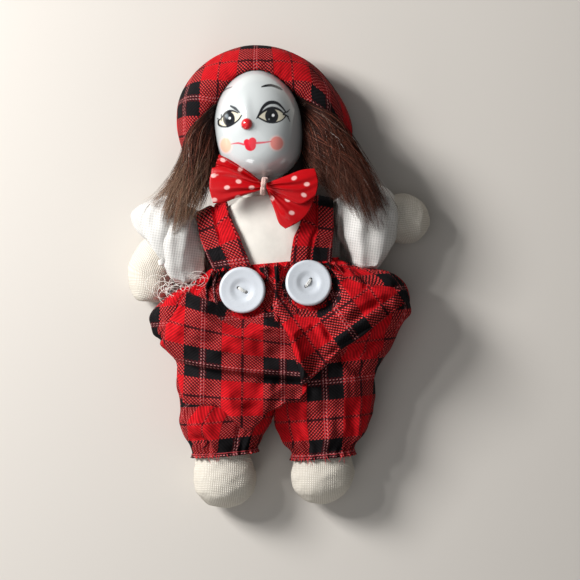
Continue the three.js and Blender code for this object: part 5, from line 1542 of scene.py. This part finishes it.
HAIR_GUIDES = {  # from beside the face outward, each from the root to the tip
    "right": [
        [(-12.0, 64.0, 11.0), (-13.2, 60.0, 15.5), (-13.2, 55.0, 18.0), (-13.8, 49.5, 20.0),
         (-16.5, 44.0, 22.0), (-20.5, 37.0, 23.0)],
        [(-12.0, 67.0, 11.5), (-14.2, 63.5, 18.0), (-14.8, 57.5, 22.8), (-16.6, 50.5, 25.0),
         (-20.4, 42.6, 25.5), (-24.6, 34.0, 24.6)],
        [(-12.2, 67.5, 12.0), (-15.0, 64.5, 19.0), (-18.0, 59.5, 24.4), (-20.8, 51.5, 25.8),
         (-24.9, 42.0, 25.8), (-28.9, 30.5, 24.4)],
        [(-12.4, 69.0, 12.5), (-16.2, 65.8, 19.6), (-20.2, 61.0, 23.6), (-23.8, 53.0, 24.6),
         (-28.4, 44.4, 24.2), (-32.2, 34.5, 22.8)],
        [(-12.6, 70.0, 12.5), (-16.8, 66.8, 19.2), (-21.6, 62.4, 21.8), (-25.6, 54.0, 22.6),
         (-30.6, 47.2, 21.6), (-35.8, 42.0, 19.5)],
    ],
    "left": [
        [(11.8, 63.0, 11.0), (13.2, 58.5, 15.5), (12.9, 53.0, 18.0), (13.4, 48.5, 20.0),
         (16.4, 43.5, 22.4), (21.4, 37.0, 23.8)],
        [(12.0, 66.0, 11.5), (14.0, 63.0, 18.5), (14.8, 57.0, 23.0), (16.6, 50.0, 25.4),
         (20.6, 42.5, 26.2), (26.0, 34.5, 26.0)],
        [(12.0, 67.2, 12.0), (15.2, 64.8, 19.5), (19.0, 59.5, 24.8), (23.0, 51.0, 26.6),
         (27.0, 40.5, 26.8), (30.4, 26.5, 25.6)],
        [(12.2, 69.2, 12.5), (16.6, 66.2, 20.0), (22.2, 61.6, 24.0), (27.4, 53.6, 25.6),
         (31.6, 42.0, 25.8), (34.6, 26.0, 24.0)],
        [(12.4, 70.6, 12.5), (17.4, 67.2, 19.5), (24.4, 62.6, 21.5), (29.6, 54.6, 22.6),
         (34.2, 44.6, 22.0), (39.4, 33.0, 20.0)],
    ],
}
HAIR_MASS = {
    "right": [
        [-13.2, 66, 12.6, 0.8, 0.8], [-15.8, 62.0, 16.4, 2.4, 2.0], [-18.0, 57.0, 18.6, 4.0, 2.8],
        [-20.6, 50.5, 20.0, 4.0, 2.6], [-22.6, 45.5, 21.0, 2.4, 1.5], [-23.4, 43.0, 21.4, 0.8, 0.6],
    ],
    "left": [
        [13.4, 66, 12.6, 0.8, 0.8], [16.6, 62.0, 16.4, 2.8, 2.0], [19.6, 57, 18.6, 4.8, 3.0],
        [22.8, 49, 20.8, 5.0, 2.8], [26.0, 42.5, 21.8, 3.0, 1.7], [27.4, 39.0, 21.8, 1.0, 0.7],
    ],
}
HAIR_UNDER = [  # x away from the middle, y, z and radius of the near-black hair behind the jaw, which stands in for the shade between face and hair
    (11.6, 67, 10.5, 2.5), (12.2, 60, 11.4, 4.4), (11.6, 53, 12.6, 5.2), (10.4, 47, 13.6, 5.2),
    (12.0, 42.6, 15.0, 3.0),
]
HAIR_CAP = [
    [0, 80.0, 7.0, 4.0, 4.6], [0, 76, 7.4, 10.6, 6.6], [0, 68, 8.2, 14.2, 7.6], [0, 60, 8.6, 15.0, 8.0],
    [0, 53, 9.0, 14.6, 8.0], [0, 48.0, 9.6, 12.0, 7.2], [0, 45.0, 10.2, 9.0, 6.0],
]
CAP_TOP = 15.5
HAIRS = 2300
HAIR_POINTS = 14
CLUMPS = 84
HAIR_RADIUS = 0.075
MASS_SHADE, UNDER_PAINTED_SHADE, CAP_SHADE = (0.016, 0.007, 0.006), (0.012, 0.006, 0.005), (0.03, 0.012, 0.009)
DARK_HAIR, WARM_HAIR = np.array((0.012, 0.004, 0.003)), np.array((0.075, 0.021, 0.012))
TIP_SHADE = {"right": np.array((0.42, 0.26, 0.16)), "left": np.array((0.21, 0.09, 0.06))}
# Colours of the painted highlights on the hair.
SHEEN_SHADE, GLINT_SHADE = (0.20, 0.12, 0.09), np.array((0.7, 0.66, 0.62))


def comb(name, random):
    """The lines of one side's hairs, in clumps between the guides, and how high each lies."""
    guides = np.array([through(guide, HAIR_POINTS) for guide in HAIR_GUIDES[name]])
    t = np.linspace(0, 1, HAIR_POINTS)[None, :, None]
    clump_at = random.uniform(0, 1, CLUMPS)
    clump = random.integers(0, CLUMPS, HAIRS)
    at_root = random.uniform(0, 1, HAIRS)
    at_tip = clump_at[clump] + random.normal(0, 0.014, HAIRS)
    pull = smooth(0.25, 1.0, np.linspace(0, 1, HAIR_POINTS))[None]
    place = at_root[:, None] * (1 - pull) + at_tip[:, None] * pull
    place = np.clip(place, 0, 1) * (len(guides) - 1)
    low = np.minimum(place.astype(int), len(guides) - 2)
    share = (place - low)[..., None]
    column = np.arange(HAIR_POINTS)[None]
    lines = guides[low, column] * (1 - share) + guides[low + 1, column] * share
    rise = random.uniform(0, 1, HAIRS)
    depth = (-3.4 + 4.4 * rise)[:, None, None]
    lines = lines + depth * np.array([0, 0, 1.0]) * (0.25 + 0.75 * np.sin(np.pi * t**0.7))
    wave = random.normal(0, 1, (CLUMPS, 3, 2))[clump]
    turns = (random.uniform(1.0, 2.4, CLUMPS)[clump])[:, None]
    phase = random.uniform(0, 6.3, CLUMPS)[clump][:, None]
    swing = np.sin(turns * 2 * np.pi * t[..., 0] + phase)
    lines[..., 0] += swing * wave[:, 0, 0, None] * 0.6 * t[..., 0]
    lines[..., 1] += swing * wave[:, 1, 0, None] * 0.25 * t[..., 0]
    fine = random.normal(0, 0.22, (HAIRS, 1, 3)) + random.normal(0, 0.5, (HAIRS, 1, 3)) * t**2
    lines = lines + fine * [1, 1, 0.6]
    length = 1 - 0.42 * random.uniform(0, 1, HAIRS) ** 1.2
    wild = random.uniform(0, 1, HAIRS) < 0.09
    lines = lines + np.where(wild[:, None, None], random.normal(0, 1.6, (HAIRS, 1, 3)) * t**1.5, 0)
    return cut_hairs(lines, length), rise


def cut_hairs(lines, length):
    """The same hairs, each cut to its share of its length."""
    want = np.linspace(0, 1, HAIR_POINTS)[None] * length[:, None] * (HAIR_POINTS - 1)
    first = np.minimum(want.astype(int), HAIR_POINTS - 2)
    part = (want - first)[..., None]
    row = np.arange(HAIRS)[:, None]
    return lines[row, first] * (1 - part) + lines[row, first + 1] * part


def hair_paint(name, random, rise):
    """Dark roots and paler tips, with some paler streaks, painted shade on the hairs that lie deeper, and a
    painted sheen and glints.
    """
    t = np.linspace(0, 1, HAIR_POINTS)[None, :, None]
    # Painted shade: hairs that lie deeper in the mass get less of the warm colour.
    light = smooth(0.05, 0.55, t) * (0.35 + 0.65 * rise[:, None, None])
    tip = smooth(0.6, 1.0, t) * random.uniform(0.0, 1.0, HAIRS)[:, None, None] ** 1.3
    streak = random.uniform(0, 1, HAIRS) < 0.12
    vary = np.where(streak, random.uniform(2.0, 4.0, HAIRS), random.uniform(0.2, 1.1, HAIRS))[:, None, None]
    paint = DARK_HAIR * (1 - light) + WARM_HAIR * light * vary
    paint = paint * (1 - tip) + TIP_SHADE[name] * tip
    # Painted highlights: a few hairs raised to a sheen colour, and rare pale glint points.
    sheen = random.uniform(0, 1, (HAIRS, 1, 1)) < 0.035
    paint = np.where(sheen, np.maximum(paint, SHEEN_SHADE), paint)
    glint = (random.uniform(0, 1, (HAIRS, HAIR_POINTS, 1)) < 0.004) * smooth(0.2, 0.5, t)
    return paint * (1 - glint) + GLINT_SHADE * glint


def hair_block(name, grid, shade, **options):
    """A plain mass of hair that the strands lie on."""
    skin(name, grid, paint=np.zeros(grid.shape) + shade, look=HAIR, body="head", **options)


def make_hair(beret_grid):
    beret = tree_of(beret_grid)
    for name, side in SIGNS.items():
        random = np.random.default_rng(40 + side)
        mass = form(HAIR_MASS[name], 60, 48, upright=False)
        hair_block(f"hair_mass_{name}", mass, MASS_SHADE, replaces=(f"wig_lock_{name}",))
        # Painted shade: a near-black block behind the jaw fills the shadow between the face and the hair.
        under = form([[side * x, y, z, r, r] for x, y, z, r in HAIR_UNDER], 30, 40, upright=False)
        hair_block(f"hair_under_{name}", under, UNDER_PAINTED_SHADE)
        lines, rise = comb(name, random)
        cover = heights(beret, lines[..., :2], FAR_BELOW) + 0.3 + 1.2 * rise[:, None]
        keep_above(lines, cover)
        paint = hair_paint(name, random, rise)
        strands(f"hair_{name}", lines, HAIR_RADIUS, paint, look=HAIR, body="head")
    cap = form(HAIR_CAP, 60, 80, square=2.1, lowest=0.6)
    cap[..., 2] = np.minimum(cap[..., 2], CAP_TOP)
    hair_block("hair_cap", cap, CAP_SHADE, replaces=("wig_cap",))


# Gauze sleeves

SLEEVES = {
    "right": [
        [-24.4, 39.6, 12.8, 4.4, 5.4], [-26.0, 38.2, 12.8, 7.6, 7.6], [-28.6, 35.4, 12.5, 9.8, 9.0],
        [-30.6, 32, 12, 10.8, 9.6], [-31.6, 28, 11.5, 11.0, 9.6], [-31.2, 24.0, 11.0, 10.6, 9.3],
        [-29.8, 20.4, 10.6, 9.8, 8.9],
    ],
    "left": [
        [24.4, 39.4, 12.8, 4.4, 5.4], [26.4, 37.6, 12.8, 7.6, 7.6], [29.4, 34.4, 12.5, 9.4, 9.0],
        [31.4, 30.6, 12.2, 9.8, 9.2], [32.2, 26, 11.8, 9.4, 8.9], [32.0, 21.4, 11.4, 8.2, 7.9],
        [31.2, 17.6, 11.0, 6.6, 6.6],
    ],
}
SLEEVE_HEMS = {  # x and y along each sleeve's lower edge
    "right": [(-42, 38.4), (-39.5, 36.0), (-37.9, 31.7), (-34.2, 24.6), (-31.2, 18.0), (-27.1, 16.0),
              (-22.7, 17.0), (-19.7, 21.5)],
    "left": [(18.2, 20.0), (21.3, 20.4), (25.4, 17.6), (28.9, 15.5), (32.6, 15.7), (36.0, 18.8),
             (37.9, 23.4), (40.1, 30.0), (42, 33)],
}
SLEEVE_DEPTH = {"right": 0.055, "left": 0.05}  # of its folds, as a share of its half width
SLEEVE_LEVEL, LINING_LEVEL = 0.35, 0.6  # lowest z of its two faces
LINED_FROM = 25  # the row from which a sleeve is open inside


def make_sleeves():
    rows, angles = 130, 220
    for name, side in SIGNS.items():

        def ripple(angle, t, depth=SLEEVE_DEPTH[name], side=side):
            folds = np.sin(5 * angle + 1.2 * side + 2.4 * t) + 0.6 * np.sin(9 * angle + 1.1 + 3 * t)
            small = 0.2 * np.sin(15 * angle + 5 * t + np.sin(3 * angle))
            gathers = 0.015 * np.sin(22 * angle) * (1 - smooth(0, 0.2, t))
            return 1 + depth * t**0.8 * (folds + small) + gathers

        outer = form(SLEEVES[name], rows, angles, 2.1, upright=False, lowest=SLEEVE_LEVEL, ripple=ripple)
        centre = through(SLEEVES[name], rows)[:, None, :3]
        outer = outer + unit(outer - centre) * (0.4 * waves(outer, 13.0, 50 + side))[..., None]
        hem = 0.6 * np.sin(5 * np.arange(angles) / angles * 2 * np.pi + 1.0)
        along = unit(centre[-1, 0] - centre[-6, 0])
        outer = outer + (smooth(0.6, 1.0, np.linspace(0, 1, rows))[:, None] * hem)[..., None] * along
        hem_x, hem_y = np.array(SLEEVE_HEMS[name]).T
        start, end = outer[0, :, 1].copy(), outer[-1, :, 1].copy()
        reach = np.interp(outer[-1, :, 0], hem_x, hem_y) - start
        outer[..., 1] = start + (outer[..., 1] - start) * reach / (end - start)
        keep_above(outer, SLEEVE_LEVEL)
        inner = centre + (outer - centre) * 0.955
        keep_above(inner, LINING_LEVEL)
        back = slice(None, LINED_FROM - 1, -1)
        throat = centre[LINED_FROM] + (inner[LINED_FROM] - centre[LINED_FROM]) * 0.2
        uv = arc_uv(outer)
        uv = np.concatenate([uv, uv[back], uv[LINED_FROM : LINED_FROM + 1]])
        whole = np.concatenate([outer, inner[back], throat[None]])
        skin(f"gauze_sleeve_{name}", whole, uv, look=GAUZE, body=f"arm_{name}", replaces=(f"sleeve_{name}",))
        petals(name, tree_of(outer))


PETAL_WALL = 0.25
PETALS = {  # the upper, lower, left and right edge of each loose panel, and how far it bulges
    "right": {
        "lower": (
            [(-31.6, 33.0), (-28.4, 37.0), (-24.4, 38.6), (-21.8, 36.0)],
            [(-33.4, 22.4), (-32.3, 18.9), (-28.9, 15.6), (-24.9, 14.6), (-21.6, 17.0), (-20.2, 21.0)],
            [(-31.6, 33.0), (-32.8, 27.4), (-33.4, 22.4)],
            [(-21.8, 36.0), (-20.0, 29.0), (-20.2, 21.0)],
            1.8,
        ),
        "side": (
            [(-25.0, 39.0), (-23.0, 39.4), (-20.6, 37.6)],
            [(-19.6, 22.0), (-18.6, 19.4), (-16.4, 18.6)],
            [(-25.0, 39.0), (-21.4, 30.6), (-19.6, 22.0)],
            [(-20.6, 37.6), (-18.4, 28.0), (-16.4, 18.6)],
            0.9,
        ),
        "outer": (
            [(-37.4, 40.0), (-33.0, 43.6), (-28.6, 42.6)],
            [(-38.6, 32.2), (-36.6, 28.0), (-33.2, 25.0), (-30.6, 24.6)],
            [(-37.4, 40.0), (-39.4, 36.4), (-38.6, 32.2)],
            [(-28.6, 42.6), (-29.6, 34.0), (-30.6, 24.6)],
            1.0,
        ),
    },
    "left": {
        "main": (
            [(23.6, 37.6), (28.0, 40.2), (33.6, 40.0), (38.4, 36.6)],
            [(23.0, 20.6), (25.0, 16.9), (28.9, 14.6), (32.8, 15.0), (36.2, 18.4)],
            [(23.6, 37.6), (23.9, 29.0), (23.0, 20.6)],
            [(38.4, 36.6), (39.6, 28.0), (36.2, 18.4)],
            2.0,
        ),
        "inner": (
            [(21.4, 37.6), (22.6, 38.0), (24.0, 37.4)],
            [(18.4, 19.0), (20.0, 20.0), (21.6, 19.8)],
            [(21.4, 37.6), (20.6, 28.0), (18.4, 19.0)],
            [(24.0, 37.4), (22.0, 29.0), (21.6, 19.8)],
            0.6,
        ),
    },
}


def petals(side_name, tree):
    """Loose panels of gauze over a sleeve."""
    rows, cols = 90, 70
    s, t = shares(rows, cols)
    for name, (top, bottom, left, right, bulge) in PETALS[side_name].items():
        xy = patch(top, bottom, left, right, rows, cols)
        base = heights(tree, xy, NO_CLOTH)
        z = relax(base, base, 60) + 0.45
        z = z + bulge * np.sin(np.pi * t) ** 0.6 * smooth(0, 0.35, s)
        seed = sum(map(ord, side_name + name))
        z = z + 0.4 * waves(raised(xy, z), 12.0, seed) * smooth(0, 0.3, s)
        pleats = np.sin(np.pi * (2 + bulge) * 1.6 * t + 1.5 * np.sin(3 * s) + seed)
        z = z + 0.4 * pleats * (1 - s) ** 0.6 * 0.7
        grid, uv = raised(xy, z), xy.copy()
        for edge in ("left", "right", "bottom"):
            grid, uv = roll_edge(grid, uv, edge, 0.7, 1.4)
        sheet(f"gauze_{name}_{side_name}", grid, uv, PETAL_WALL, look=GAUZE, body=f"arm_{side_name}")


def make_frayed_threads():
    """A tangle of loose threads at the doll's right hand."""
    random = np.random.default_rng(77)
    count, points = 30, 24
    t = np.linspace(0, 1, points)[:, None]
    lines = []
    for _ in range(count):
        start = np.array([random.uniform(-34, -24), random.uniform(14.0, 16.5), random.uniform(17, 21)])
        size = random.uniform(1.2, 2.8)
        turn = random.uniform(0, 6.3) + t * random.uniform(4.0, 7.5)
        curl = np.concatenate([np.cos(turn) * size * 1.4, np.sin(turn) * size, 0.6 * np.sin(turn * 1.3)], 1)
        drift = np.array([random.uniform(-1, 4), random.uniform(-2.6, 0.2), 0]) * t
        lines.append(start + curl - curl[0] + drift)
    paint = np.zeros((count, points, 3)) + (0.80, 0.78, 0.72)
    strands("frayed_threads_right", np.array(lines), 0.085, paint, look=LOOSE_THREAD, body="arm_right")



# The doll

make_stage()
head_grid = make_head()
beret_grid = make_beret(head_grid)
make_bow()
torso_grid = make_torso()
torso_tree = tree_of(torso_grid)
make_neck()
for side_name in SIGNS:
    make_strap(side_name, torso_tree)
make_buttons()
make_limbs()
seat_block()
make_waist()
leg_grids = make_trousers()
leg_tree = tree_of(leg_grids["right"], leg_grids["left"])
make_flap(leg_tree, make_right_fold(leg_tree))
make_hair(beret_grid)
make_sleeves()
make_frayed_threads()
make_knots()
